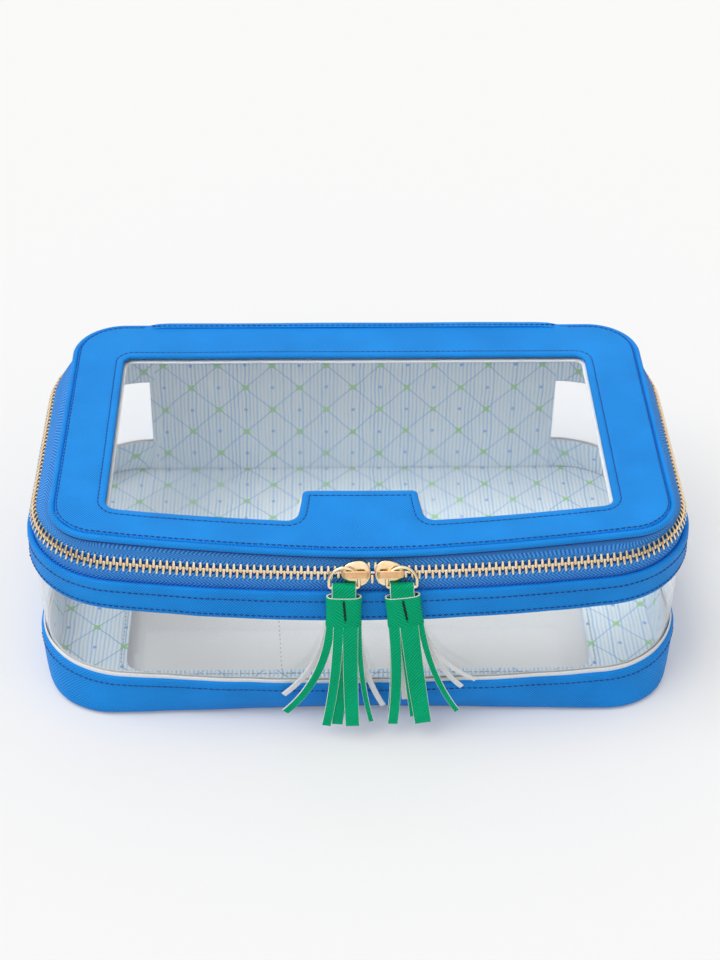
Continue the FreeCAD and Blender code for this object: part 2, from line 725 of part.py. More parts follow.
# Tassel, drawn about the ring's straight side: a strap folded over the wire, a rolled head, a cut fringe.
# It hangs in the plane of its ring, so it clears the wall that bulges below the zip.
strap_in = "(dims.ring_wire / 2 + dims.seam_gap * 2)"
strap_out = "(%s + dims.strap)" % strap_in
head_top = "(%s + dims.strap_drop)" % strap_in
tassel_height = "(dims.zip_height - dims.ring_drop * cos(dims.ring_tilt))"
fringe_foot = "(%s / cos(dims.ring_tilt) - dims.floor_clearance)" % tassel_height
fringe_length = "(%s - %s - dims.head_height - dims.seam_gap)" % (fringe_foot, head_top)


def make_loop(label):
    body = new_body(label)
    side = new_sketch(body, "side", "YZ_Plane")
    inner = value(strap_in)
    outer = value(strap_out)
    foot = -value(head_top)
    up = Vector(0, 0, 1)
    middle = Vector(0, 0, 0)
    side.addGeometry([
        Part.ArcOfCircle(Part.Circle(middle, up, outer), 0, math.pi),
        Part.LineSegment(Vector(-outer, 0, 0), Vector(-outer, foot, 0)),
        Part.LineSegment(Vector(-outer, foot, 0), Vector(-inner, foot, 0)),
        Part.LineSegment(Vector(-inner, foot, 0), Vector(-inner, 0, 0)),
        Part.ArcOfCircle(Part.Circle(middle, up, inner), 0, math.pi),
        Part.LineSegment(Vector(inner, 0, 0), Vector(inner, foot, 0)),
        Part.LineSegment(Vector(inner, foot, 0), Vector(outer, foot, 0)),
        Part.LineSegment(Vector(outer, foot, 0), Vector(outer, 0, 0)),
    ])
    joined = [
        (0, 2, 1, 1), (1, 2, 2, 1), (2, 2, 3, 1), (3, 2, 4, 2),
        (4, 1, 5, 1), (5, 2, 6, 1), (6, 2, 7, 1), (7, 2, 0, 1),
    ]
    for here, end, after, start in joined:
        side.addConstraint(Sketcher.Constraint("Coincident", here, end, after, start))
    for line in (1, 3, 5, 7):
        side.addConstraint(Sketcher.Constraint("Vertical", line))
    for line in (2, 6):
        side.addConstraint(Sketcher.Constraint("Horizontal", line))
    side.addConstraint(Sketcher.Constraint("Coincident", 0, 3, -1, 1))
    side.addConstraint(Sketcher.Constraint("Coincident", 4, 3, -1, 1))
    for arc, end in ((0, 1), (0, 2), (4, 1), (4, 2)):
        side.addConstraint(Sketcher.Constraint("PointOnObject", arc, end, -1))
    drive(side, "Radius", 0, strap_out)
    drive(side, "Radius", 4, strap_in)
    drive(side, "DistanceY", 1, 2, -1, 1, head_top)
    drive(side, "DistanceY", 6, 1, -1, 1, head_top)
    pad(body, side, "dims.strap_width", middle=True)
    return body


def make_head(label):
    body = new_body(label)
    plan = new_sketch(body, "plan", "XY_Plane", "-(%s + dims.seam_gap)" % head_top)
    half = "(dims.head_width / 2)"
    deep = "(dims.head_depth / 2)"
    corners = [("-" + half, "-" + deep), (half, "-" + deep), (half, deep), ("-" + half, deep)]
    draw_rounded_path(plan, corners, "dims.head_depth * 0.42")
    pad(body, plan, "dims.head_height", reverse=True)
    return body


def make_fringe(label):
    strips = []
    step = "(dims.strip_width + dims.strip_gap)"
    top = "(%s + dims.head_height + dims.seam_gap * 3)" % head_top
    for side, count in (("front", 4), ("rear", 3)):
        for i in range(count):
            place = i - (count - 1) / 2
            strip = doc.addObject("Part::Box", "%s_%s%d" % (label, side, i))
            for prop, expression in (
                ("Length", "dims.strip_width"), ("Width", "dims.strip"), ("Height", fringe_length),
            ):
                setattr(strip, prop, value(expression))
                strip.setExpression(prop, expression)
            fan = place * value("dims.fringe_fan")
            lift = value("dims.fringe_lift") * (0.6 if side == "front" else -0.3)
            deep = value("dims.head_depth / 4") * (-1 if side == "front" else 1)
            hang = Rotation(Vector(0, 1, 0), -fan).multiply(Rotation(Vector(1, 0, 0), -lift))
            half = value("dims.strip_width") / 2
            corner = Vector(-half, -value("dims.strip") / 2, -value(fringe_length))
            head_foot = Vector(place * value(step), deep, -value(top))
            strip.Placement = Placement(head_foot, Rotation()).multiply(
                Placement(Vector(), hang)).multiply(Placement(corner, Rotation()))
            strips.append(strip)
    fringe = doc.addObject("Part::Compound", label)
    fringe.Label = label
    fringe.Links = strips
    return fringe


# Each pull is built square to the chain and then carried to its own place on the front arc.
front = outline_numbers(case_outline("dims.zip_height", chain_inset))
hub = Vector(0, front["centre"], 0)


def on_chain(distance):
    turn = math.degrees(distance / front["radius"])
    swing = Placement(hub, Rotation(Vector(0, 0, 1), turn))
    return swing.multiply(Placement(Vector(0, -front["radius"], value("dims.zip_height")), Rotation()))


slider_middle = value("(dims.slider_length + dims.nose_gap) / 2")
pull_place = value("%s + dims.bridge_post / 2" % tail_post)
tilt = Rotation(Vector(1, 0, 0), -value("dims.ring_tilt"))
ring_foot = tilt.multVec(Vector(0, 0, -value("dims.ring_drop")))
for side, direction in (("left", 1), ("right", -1)):
    chain_place = on_chain(value("dims.meeting_offset") - direction * slider_middle)
    facing = Placement(Vector(), Rotation(Vector(0, 1, 0), 0 if direction > 0 else 180))
    slider = make_slider("slider_" + side)
    keep(slider, chain_place.multiply(facing))
    pivot = Vector(direction * pull_place, -value(pivot_out), 0)
    ring_place = chain_place.multiply(Placement(pivot, Rotation()))
    keep(make_ring("pull_ring_" + side), ring_place.multiply(Placement(Vector(), tilt)))
    tassel_place = ring_place.multiply(Placement(ring_foot, tilt))
    keep(make_loop("tassel_loop_" + side), tassel_place)
    keep(make_head("tassel_head_" + side), tassel_place)
    keep(make_fringe("tassel_fringe_" + side), tassel_place)

# The origin lies under the middle of the outer box, which reaches from the fringes to the back panel.
for item, placement in nodes:
    item.Placement = placement or Placement()
doc.recompute()
front_end = min(item.Shape.BoundBox.YMin for item, placement in nodes)
back_end = max(item.Shape.BoundBox.YMax for item, placement in nodes)
shift = Placement(Vector(0, -(front_end + back_end) / 2, 0), Rotation())
for item, placement in nodes:
    item.Placement = shift.multiply(item.Placement)
doc.recompute()

for item in doc.Objects:
    if "Invalid" in item.State or "Error" in item.State:
        raise RuntimeError("%s: %s" % (item.Label, item.State))
os.makedirs("parts", exist_ok=True)
for item, placement in nodes:
    shape = item.Shape
    if shape.isNull() or not shape.isValid():
        raise RuntimeError(item.Label + " has no valid shape")
    shape.exportStep("parts/" + item.Label + ".step")
    box = shape.BoundBox
    print("%-22s solids %3d  x %7.2f %7.2f  y %7.2f %7.2f  z %6.2f %6.2f" % (
        item.Label, len(shape.Solids), box.XMin, box.XMax, box.YMin, box.YMax, box.ZMin, box.ZMax))
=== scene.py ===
import json
import math
import random
from functools import partial
import bpy
import bmesh
from mathutils import Matrix, Vector, noise


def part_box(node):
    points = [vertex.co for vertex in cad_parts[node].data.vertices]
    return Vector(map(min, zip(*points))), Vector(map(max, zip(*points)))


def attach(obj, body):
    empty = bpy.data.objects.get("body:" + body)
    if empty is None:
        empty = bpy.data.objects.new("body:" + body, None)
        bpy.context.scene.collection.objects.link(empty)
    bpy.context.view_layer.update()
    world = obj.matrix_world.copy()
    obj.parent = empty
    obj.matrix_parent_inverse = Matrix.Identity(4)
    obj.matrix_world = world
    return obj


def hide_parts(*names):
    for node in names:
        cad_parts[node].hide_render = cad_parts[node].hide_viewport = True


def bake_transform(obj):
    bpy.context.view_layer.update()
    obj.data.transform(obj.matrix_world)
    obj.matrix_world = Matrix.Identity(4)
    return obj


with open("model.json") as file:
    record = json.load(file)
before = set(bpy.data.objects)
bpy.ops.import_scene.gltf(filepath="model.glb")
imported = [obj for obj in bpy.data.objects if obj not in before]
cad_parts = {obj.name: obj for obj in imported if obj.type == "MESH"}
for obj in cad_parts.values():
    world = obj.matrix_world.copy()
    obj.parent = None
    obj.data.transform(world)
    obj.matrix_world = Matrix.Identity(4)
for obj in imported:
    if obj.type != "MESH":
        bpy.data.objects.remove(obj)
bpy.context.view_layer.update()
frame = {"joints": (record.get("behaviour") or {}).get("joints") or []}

# Game tile bag: a soft clear case with a zip round its front and sides. Lengths are in millimetres.
scene = bpy.context.scene
mm = 0.001
quarter = math.pi / 2
chance = random.Random(11)
jointOf = {joint["name"]: joint for joint in frame["joints"]}


def cadSpan(node):
    low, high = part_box(node)
    return Vector(low) / mm, Vector(high) / mm


def cadHeights(node):
    return [corner.z for corner in cadSpan(node)]


caseDepth = 160
backY = cadSpan("back_panel")[1].y
panelHalf = cadSpan("back_panel")[1].x
midY = backY - caseDepth / 2
zipLevel = jointOf["lid_hinge"]["pos_m"][2] / mm
bandFoot, bandTop = cadHeights("upper_band")
footTop = cadHeights("lower_band")[1]
lidUnder, lidTop = cadHeights("lid_panel")
rollLow, rollHigh = cadSpan("lid_piping")
rollRadius = (rollHigh.z - rollLow.z) / 2
rollLevel = (rollHigh.z + rollLow.z) / 2


# Plan outlines. A run is open at the back, where the hinge panel stands. A ring goes all the way round.
wallForm = {
    "level": (0, 5, 18, 34, 50, 62, 70.5),   # the soft wall at a few heights, from the foot to the zip
    "halfWidth": (124.6, 126.4, 128.8, 130.4, 131, 130.8, 130),
    "reach": (81.6, 82.0, 83.4, 83.4, 82.4, 80.8, 80),
    "corner": (26, 31, 38.5, 41, 41, 40.5, 40),
    "bow": (1.2, 3.6, 9.6, 13.2, 14.8, 13.6, 12.6),
    "wave": 0.35,       # slack in the sewn wall
    "waveEnd": 56,      # height where the slack starts to die out
    "waveFade": 12,
    "footTuck": 5.2,    # how far the middle of the foot pulls in at the front
    "tuckWide": 72,
    "tuckHigh": 11,
}
lidShape = {
    "halfWidth": rollHigh.x - rollRadius - 0.6,
    "back": rollHigh.y - rollRadius - midY,
    "reach": midY - rollLow.y - rollRadius,
    "corner": 20,
    "backCorner": 20,
    "bow": 12.6,
    "shift": 1.2,
}
runSteps = {"back": 4, "backCorner": 16, "side": 22, "frontCorner": 22, "front": 46}
ringSteps = {"back": 14, "backCorner": 12, "side": 16, "frontCorner": 12, "front": 24, "tab": (6, 5, 6, 8)}
tabSplit = 24   # half the stretch at the front of a ring that answers the tab
windowBend = {"riseFrom": 28, "riseOver": 22, "pinchOver": 16, "pinchHalf": 30}


def smooth(t):
    t = min(max(t, 0), 1)
    return t * t * (3 - 2 * t)


def mix(a, b, t):
    return a + (b - a) * t


def eased(keys, values, at):
    at = min(max(at, keys[0]), keys[-1])
    here = max(k for k in range(len(keys) - 1) if keys[k] <= at)

    def slope(k):
        a, b = max(k - 1, 0), min(k + 1, len(keys) - 1)
        return (values[b] - values[a]) / (keys[b] - keys[a])

    span = keys[here + 1] - keys[here]
    t = (at - keys[here]) / span
    bend = span * (slope(here) * t * (1 - t) ** 2 - slope(here + 1) * t * t * (1 - t))
    return mix(values[here], values[here + 1], smooth(t)) + bend


def wallShape(level):
    keys = ("halfWidth", "reach", "corner", "bow")
    shape = {key: eased(wallForm["level"], wallForm[key], level) for key in keys}
    shape["back"] = caseDepth / 2
    return shape


def planParts(shape, inset):
    half, back = shape["halfWidth"] - inset, shape["back"] - inset
    corner = max(shape["corner"] - inset, 1)
    full = (shape["halfWidth"] ** 2 + shape["bow"] ** 2) / (2 * shape["bow"])
    radius, hub, across = full - inset, full - shape["reach"], half - corner
    frontY = hub - math.sqrt((radius - corner) ** 2 - across ** 2)
    turn = math.asin(across / (radius - corner))
    return half, back, corner, radius, hub, across, frontY, turn


def arcPoints(x, y, radius, start, end, count):
    angles = [mix(start, end, i / count) for i in range(count)]
    return [(x + radius * math.cos(a), y + radius * math.sin(a)) for a in angles]


def linePoints(start, end, count):
    return [(mix(start[0], end[0], i / count), mix(start[1], end[1], i / count)) for i in range(count)]


def planSide(shape, inset, steps, begin=None, split=None):
    # The right half of an outline, from the back to the middle of the front.
    half, back, corner, radius, hub, across, frontY, turn = planParts(shape, inset)
    rear = max(shape.get("backCorner", shape["corner"]) - inset, 1)
    start = half - rear
    points = []
    if begin is not None:
        points = linePoints((min(begin, start - 0.2), back), (start, back), steps["back"])
    points += arcPoints(start, back - rear, rear, quarter, 0, steps["backCorner"])
    points += linePoints((half, back - rear), (half, frontY), steps["side"])
    points += arcPoints(across, frontY, corner, 0, turn - quarter, steps["frontCorner"])
    stops = [(-quarter, steps["front"])]
    if split:
        stops = [(math.asin(split / radius) - quarter, steps["front"]), (-quarter, sum(steps["tab"]))]
    angle = turn - quarter
    for stop, count in stops:
        points += arcPoints(0, hub, radius, angle, stop, count)
        angle = stop
    return points, (0, hub - radius)


def planRun(shape, inset=0, end=None):
    right, front = planSide(shape, inset, runSteps, end)
    run = right + [front] + [(-x, y) for x, y in reversed(right)]
    return [(x + shape.get("shift", 0), y) for x, y in run]


def planRing(shape, inset=0):
    right, front = planSide(shape, inset, ringSteps, 0, tabSplit)
    ring = right + [front] + [(-x, y) for x, y in reversed(right[1:])]
    return [(x + shape.get("shift", 0), y) for x, y in ring]


def windowRing(window, outset=0):
    # A rounded opening whose points answer those of planRing, with a tab let into its front.
    half, back, front = window["half"] + outset, window["back"] + outset, window["front"] - outset
    corner = window["corner"] + outset
    inner = half - corner
    right = linePoints((0, back), (inner, back), ringSteps["back"])
    right += arcPoints(inner, back - corner, corner, quarter, 0, ringSteps["backCorner"])
    right += linePoints((half, back - corner), (half, front + corner), ringSteps["side"])
    right += arcPoints(inner, front + corner, corner, 0, -quarter, ringSteps["frontCorner"])
    if window["tabReach"]:
        base = window["tabBase"] + outset
        top = max(window["tabTop"] - outset, 0.5)
        side, crest = window["tabHalf"] - outset, window["front"] + window["tabReach"] - outset
        low, rise, turn, flat = ringSteps["tab"]
        right += linePoints((inner, front), (side + base, front), ringSteps["front"])
        right += arcPoints(side + base, front + base, base, -quarter, -math.pi, low)
        right += linePoints((side, front + base), (side, crest - top), rise)
        right += arcPoints(side - top, crest - top, top, 0, quarter, turn)
        right += linePoints((side - top, crest), (0, crest), flat)
        last = (0, crest)
    else:
        right += linePoints((inner, front), (tabSplit, front), ringSteps["front"])
        right += linePoints((tabSplit, front), (0, front), sum(ringSteps["tab"]))
        last = (0, front)
    path = right + [last] + [(-x, y) for x, y in reversed(right[1:])]
    bend = windowBend
    bent = []
    for x, y in path:
        outer = max(x * x - tabSplit ** 2, 0) / (window["half"] ** 2 - tabSplit ** 2)
        pinch = window["tabPinch"] * smooth((y - window["front"]) / bend["pinchOver"])
        if abs(x) >= bend["pinchHalf"]:
            pinch = 0
        rise = window["frontRise"] * outer * smooth((-y - bend["riseFrom"]) / bend["riseOver"])
        bent.append((x * (1 - pinch), y + rise))
    return bent


def slack(place, x, y, level):
    # Small waves of the sewn wall, the same for every layer, and the tuck of the foot.
    form = wallForm
    angle = place * math.pi * 2
    wave = noise.noise(Vector((math.cos(angle) * 5, math.sin(angle) * 5, level * 0.05))) * form["wave"]
    wave *= 1 - smooth((level - form["waveEnd"]) / form["waveFade"])
    tuck = math.exp(-(x / form["tuckWide"]) ** 2) * max(0, 1 - level / form["tuckHigh"]) ** 2 if y < 0 else 0
    return wave - form["footTuck"] * tuck


def wallRun(level, inset=0, end=None):
    outer = planRun(wallShape(level), 0, end)
    inner = planRun(wallShape(level), inset, end) if inset else outer
    points = []
    for i, (x, y) in enumerate(inner):
        a, b = outer[max(i - 1, 0)], outer[min(i + 1, len(outer) - 1)]
        outward = Vector((a[1] - b[1], b[0] - a[0], 0)).normalized()
        give = slack(i / len(inner), outer[i][0], outer[i][1], level)
        points.append(Vector((x, y + midY, level)) + outward * give)
    return points


def wallLoops(profile, end):
    return [wallRun(level, inset, end) for inset, level in profile]


# Mesh building. A part is a set of matching point loops, and a piece is one or more parts.
def loftPart(loops, around=True, across=True, plan=False, slots=None):
    count, rows = len(loops[0]), len(loops)
    verts = [point * mm for loop in loops for point in loop]
    sample = range(0, count, 7)
    u, v = [0.0], [0.0]
    for i in range(count):
        u.append(u[-1] + (loops[0][(i + 1) % count] - loops[0][i]).length * mm)
    for k in range(rows):
        after = loops[(k + 1) % rows]
        v.append(v[-1] + sum((after[i] - loops[k][i]).length for i in sample) / len(sample) * mm)
    faces, uvs, marks = [], [], []
    for k in range(rows if across else rows - 1):
        for i in range(count if around else count - 1):
            ring = [(k, i), (k, i + 1), (k + 1, i + 1), (k + 1, i)]
            faces.append([(a % rows) * count + b % count for a, b in ring])
            uvs.append([verts[index][:2] for index in faces[-1]] if plan else [(u[b], v[a]) for a, b in ring])
            marks.append(slots(k, i) if slots else 0)
    ends = []
    if not around:
        ends = [[k * count for k in range(rows)], [k * count + count - 1 for k in range(rows)]]
    elif not across:
        ends = [list(range(count)), list(range((rows - 1) * count, rows * count))]
    for end in ends:
        faces.append(end)
        uvs.append([verts[index][:2] if plan else (0, 0) for index in end])
        marks.append(slots(0, 0) if slots else 0)
    return verts, faces, uvs, marks


def makePiece(name, parts, materials, crease=40):
    verts, faces, uvs, marks = [], [], [], []
    for part in parts:
        start = len(verts)
        verts += part[0]
        faces += [[index + start for index in face] for face in part[1]]
        uvs += part[2]
        marks += part[3]
    mesh = bpy.data.meshes.new(name)
    mesh.from_pydata(verts, [], faces)
    layer = mesh.uv_layers.new(name="cloth")
    for polygon, corners, mark in zip(mesh.polygons, uvs, marks):
        for loop, corner in zip(polygon.loop_indices, corners):
            layer.data[loop].uv = corner
        polygon.material_index = mark
        polygon.use_smooth = True
    for material in materials:
        mesh.materials.append(material)
    build = bmesh.new()
    build.from_mesh(mesh)
    bmesh.ops.recalc_face_normals(build, faces=build.faces)
    build.to_mesh(mesh)
    build.free()
    mesh.set_sharp_from_angle(angle=math.radians(crease))
    piece = bpy.data.objects.new(name, mesh)
    scene.collection.objects.link(piece)
    return piece


def settle(piece, body, slot, *nodes):
    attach(piece, body)
    if nodes:
        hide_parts(*nodes)


def runLength(points):
    return sum((b - a).length for a, b in zip(points, points[1:]))


def flatArea(points):
    return abs(sum(a[0] * b[1] - b[0] * a[1] for a, b in zip(points, points[1:] + points[:1]))) / 2


roundTurns = [math.pi * i / 6 for i in range(1, 6)]   # steps over a rounded edge


def stripProfile(low, high, outer, thick, rows=8, puff=0.0):
    # A closed upright profile of (inset, level) with round ends.
    edge = thick / 2
    levels = [mix(low + edge, high - edge, i / rows) for i in range(rows + 1)]
    swell = [puff * math.sin(math.pi * i / rows) for i in range(rows + 1)]
    outside = [(outer - s, level) for s, level in zip(swell, levels)]
    crown = [(outer + edge - edge * math.cos(a), high - edge + edge * math.sin(a)) for a in roundTurns]
    inside = [(outer + thick - s, level) for s, level in zip(swell, levels)]
    root = [(outer + edge + edge * math.cos(a), low + edge - edge * math.sin(a)) for a in roundTurns]
    return outside + crown + inside[::-1] + root


def walk(points, pitch, closed=False):
    # Evenly spaced places and headings along a run of points.
    line = points + points[:1] if closed else points
    spans = [(b - a).length for a, b in zip(line, line[1:])]
    total = sum(spans)
    count = max(int(round(total / pitch)), 1)
    places, here, done = [], 0, 0.0
    for n in range(count):
        want = total * (n + 0.5) / count
        while done + spans[here] < want and here < len(spans) - 1:
            done += spans[here]
            here += 1
        heading = (line[here + 1] - line[here]).normalized()
        places.append((line[here] + heading * (want - done), heading))
    return places


stitchSpec = {"pitch": 2.3, "length": 1.7, "radius": 0.25, "wander": 0.08}
stitchTaper = ((-0.5, 0.35), (-0.38, 0.9), (0, 1.0), (0.38, 0.9), (0.5, 0.35))


def stitchParts(points, closed=False, up=Vector((0, 0, 1)), spec=stitchSpec):
    parts = []
    angles = [i * math.pi / 3 for i in range(6)]
    for place, heading in walk(points, spec["pitch"], closed):
        side = heading.cross(up).normalized()
        rise = side.cross(heading)
        place = place + side * chance.uniform(-1, 1) * spec["wander"]
        heading = (heading + side * chance.uniform(-1, 1) * 0.05).normalized()
        loops = []
        for t, size in stitchTaper:
            middle = place + heading * t * spec["length"]
            radius = spec["radius"] * size
            loops.append([middle + (side * math.cos(a) + rise * math.sin(a)) * radius for a in angles])
        parts.append(loftPart(loops, True, False))
    return parts


def ribbonPath(route, place, flip=1):
    # route holds (a, b, half width), and place(side, a, b) is a point of the strip.
    path = []
    for i, (a, b, half) in enumerate(route):
        before, after = route[max(i - 1, 0)], route[min(i + 1, len(route) - 1)]
        heading = (place(0, *after[:2]) - place(0, *before[:2])).normalized()
        across = (place(1, a, b) - place(-1, a, b)).normalized()
        path.append((place(0, a, b), across, heading.cross(across) * flip, half))
    return path


def ribbonPart(path, thick, bevel=0.2, faceMark=0, edgeMark=1, backMark=1):
    # path holds (centre, across, face, half width); the front face may differ from edges and back.
    loops = []
    for centre, across, face, half in path:
        b, t = min(bevel, half * 0.6), thick / 2
        corners = ((b - half, t), (half - b, t), (half, t - b), (half, b - t),
                   (half - b, -t), (b - half, -t), (-half, b - t), (-half, t - b))
        loops.append([centre + across * u + face * n for u, n in corners])
    marks = {0: faceMark, 4: backMark}
    return loftPart(loops, True, False, slots=lambda k, i: marks.get(i, edgeMark))


def tubePart(path, radius, sides=12):
    count = len(path)
    third = count // 3
    normal = (path[third] - path[0]).cross(path[2 * third] - path[0]).normalized()
    angles = [n * math.pi * 2 / sides for n in range(sides)]
    loops = []
    for i in range(count):
        heading = (path[(i + 1) % count] - path[i - 1]).normalized()
        side = heading.cross(normal).normalized()
        other = heading.cross(side)
        loops.append([path[i] + (side * math.cos(a) + other * math.sin(a)) * radius for a in angles])
    return loftPart(loops)


# Materials. Colours are linear, written as they should look under plain light.
def newMaterial(name):
    material = bpy.data.materials.new(name)
    material.use_nodes = True
    nodes, links = material.node_tree.nodes, material.node_tree.links
    return material, nodes, links, nodes["Principled BSDF"]


def newGroup(name, inputs, outputs):
    group = bpy.data.node_groups.new(name, "ShaderNodeTree")
    for label, value in inputs.items():
        socket = group.interface.new_socket(label, in_out="INPUT", socket_type="NodeSocketFloat")
        socket.default_value = value
    for label in outputs:
        group.interface.new_socket(label, in_out="OUTPUT", socket_type="NodeSocketFloat")
    return group, group.nodes.new("NodeGroupInput"), group.nodes.new("NodeGroupOutput")


def addMath(tree, operation, a, b=None, c=None):
    node = tree.nodes.new("ShaderNodeMath")
    node.operation = operation
    for i, value in enumerate((a, b, c)):
        if value is None:
            continue
        if isinstance(value, (int, float)):
            node.inputs[i].default_value = value
        else:
            tree.links.new(value, node.inputs[i])
    return node.outputs[0]


def addNoise(tree, vector, scale, detail=3):
    node = tree.nodes.new("ShaderNodeTexNoise")
    node.inputs["Scale"].default_value = scale
    node.inputs["Detail"].default_value = detail
    tree.links.new(vector, node.inputs["Vector"])
    return node.outputs["Fac"]


def addMix(tree, factor, a, b):
    node = tree.nodes.new("ShaderNodeMix")
    node.data_type = "RGBA"
    for name, value in (("Factor_Float", factor), ("A_Color", a), ("B_Color", b)):
        socket = next(s for s in node.inputs if s.identifier == name)
        if isinstance(value, tuple):
            socket.default_value = (*value, 1)
        else:
            tree.links.new(value, socket)
    return next(s for s in node.outputs if s.identifier == "Result_Color")


def addRange(tree, value, low, high, start=0.0, end=1.0):
    node = tree.nodes.new("ShaderNodeMapRange")
    tree.links.new(value, node.inputs["Value"])
    for name, number in (("From Min", low), ("From Max", high), ("To Min", start), ("To Max", end)):
        node.inputs[name].default_value = number
    return node.outputs["Result"]


def addBump(tree, height, strength, distance, shader):
    bump = tree.nodes.new("ShaderNodeBump")
    bump.inputs["Strength"].default_value = strength
    bump.inputs["Distance"].default_value = distance
    tree.links.new(height, bump.inputs["Height"])
    tree.links.new(bump.outputs["Normal"], shader.inputs["Normal"])


def clothSplit(tree):
    coords = tree.nodes.new("ShaderNodeUVMap")
    coords.uv_map = "cloth"
    split = tree.nodes.new("ShaderNodeSeparateXYZ")
    tree.links.new(coords.outputs["UV"], split.inputs[0])
    return coords.outputs["UV"], split.outputs["X"], split.outputs["Y"]


def addWave(tree, value, turns):
    return addMath(tree, "SINE", addMath(tree, "MULTIPLY", value, turns))


def hatchGroup():
    # Fine crossed ridges pressed into coated cloth, with softer and harder patches.
    group, entry, result = newGroup("crossHatch", {"Pitch": 0.001, "Across": 0.6}, ("Height", "Shade"))
    calc = partial(addMath, group)
    vector, u, v = clothSplit(group)
    pitch, weight = entry.outputs["Pitch"], entry.outputs["Across"]
    wander = addNoise(group, vector, 260, 2)
    rising = calc("ADD", calc("DIVIDE", calc("ADD", u, v), pitch), wander)
    falling = calc("ADD", calc("DIVIDE", calc("SUBTRACT", u, v), pitch), wander)
    second = calc("MULTIPLY", addWave(group, falling, math.pi * 2), weight)
    ridge = calc("ADD", addWave(group, rising, math.pi * 2), second)
    patch = addNoise(group, vector, 55, 3)
    height = calc("MULTIPLY", ridge, addRange(group, patch, 0.3, 0.7, 0.35, 1.0))
    group.links.new(height, result.inputs["Height"])
    group.links.new(addRange(group, height, -1.4, 1.4), result.inputs["Shade"])
    return group


def herringboneGroup():
    # Ribs that change direction every few millimetres, as in woven zip tape.
    group, entry, result = newGroup("herringbone", {"Rib": 0.0011, "Column": 0.0024}, ("Height", "Shade"))
    calc = partial(addMath, group)
    vector, u, v = clothSplit(group)
    zigzag = calc("PINGPONG", v, entry.outputs["Column"])
    slant = calc("DIVIDE", calc("ADD", u, zigzag), entry.outputs["Rib"])
    thread = calc("MULTIPLY", addNoise(group, vector, 1900, 2), 0.9)
    height = calc("ADD", addWave(group, slant, math.pi * 2), thread)
    group.links.new(height, result.inputs["Height"])
    group.links.new(addRange(group, height, -0.8, 1.6), result.inputs["Shade"])
    return group


hatch = hatchGroup()
herringbone = herringboneGroup()


def placeGroup(nodes, group, **values):
    node = nodes.new("ShaderNodeGroup")
    node.node_tree = group
    for name, value in values.items():
        node.inputs[name].default_value = value
    return node.outputs["Height"], node.outputs["Shade"]


def coatedCloth(name, dark, light, pitch, across, rough, ridge, shine, depth):
    material, nodes, links, shader = newMaterial(name)
    tree = material.node_tree
    height, shade = placeGroup(nodes, hatch, Pitch=pitch, Across=across)
    cloud = addNoise(tree, clothSplit(tree)[0], 22, 3)
    tone = addMix(tree, addRange(tree, cloud, 0.3, 0.7), dark, light)
    deep = tuple(c * depth for c in dark)
    links.new(addMix(tree, addRange(tree, shade, 0.08, 0.62), deep, tone), shader.inputs["Base Color"])
    links.new(addRange(tree, shade, 0, 1, rough + 0.12, rough), shader.inputs["Roughness"])
    shader.inputs["Specular IOR Level"].default_value = shine
    addBump(tree, height, ridge, 0.00014, shader)
    return material


def tapeCloth(name, dark, light):
    material, nodes, links, shader = newMaterial(name)
    tree = material.node_tree
    height, shade = placeGroup(nodes, herringbone, Rib=0.0016, Column=0.0032)
    links.new(addMix(tree, shade, dark, light), shader.inputs["Base Color"])
    shader.inputs["Roughness"].default_value = 0.7
    shader.inputs["Specular IOR Level"].default_value = 0.15
    addBump(tree, height, 0.6, 0.0003, shader)
    return material


def threadCloth(name, dark, light):
    material, nodes, links, shader = newMaterial(name)
    tree = material.node_tree
    u, v = clothSplit(tree)[1:]
    twist = addWave(tree, addMath(tree, "ADD", u, v), 9000)
    links.new(addMix(tree, addRange(tree, twist, -1, 1), dark, light), shader.inputs["Base Color"])
    shader.inputs["Roughness"].default_value = 0.65
    addBump(tree, twist, 0.4, 0.0001, shader)
    return material


def goldPlate(name, dark, light):
    material, nodes, links, shader = newMaterial(name)
    tree = material.node_tree
    where = nodes.new("ShaderNodeTexCoord").outputs["Object"]
    tarnish = addRange(tree, addNoise(tree, where, 420, 4), 0.35, 0.7)
    links.new(addMix(tree, tarnish, dark, light), shader.inputs["Base Color"])
    shader.inputs["Metallic"].default_value = 1
    polish = addRange(tree, addNoise(tree, where, 900, 3), 0.3, 0.7, 0.12, 0.22)
    links.new(polish, shader.inputs["Roughness"])
    addBump(tree, addNoise(tree, where, 2600, 2), 0.05, 0.00005, shader)
    return material


def clearVinyl():
    material, nodes, links, shader = newMaterial("clearVinyl")
    tree = material.node_tree
    where = nodes.new("ShaderNodeTexCoord").outputs["Object"]
    smear = addNoise(tree, where, 28, 4)
    links.new(addRange(tree, smear, 0.35, 0.75, 0.02, 0.07), shader.inputs["Roughness"])
    links.new(addMix(tree, smear, (0.975, 0.985, 0.99), (0.99, 0.995, 1.0)), shader.inputs["Base Color"])
    shader.inputs["Transmission Weight"].default_value = 1
    shader.inputs["IOR"].default_value = 1.38
    addBump(tree, addNoise(tree, where, 16, 2), 0.12, 0.0015, shader)
    clear = nodes.new("ShaderNodeBsdfTransparent")   # light passes straight through to the lining
    clear.inputs["Color"].default_value = (0.93, 0.945, 0.955, 1)
    path = nodes.new("ShaderNodeLightPath")
    blend = nodes.new("ShaderNodeMixShader")
    links.new(path.outputs["Is Shadow Ray"], blend.inputs["Fac"])
    links.new(shader.outputs["BSDF"], blend.inputs[1])
    links.new(clear.outputs["BSDF"], blend.inputs[2])
    links.new(blend.outputs["Shader"], nodes["Material Output"].inputs["Surface"])
    return material


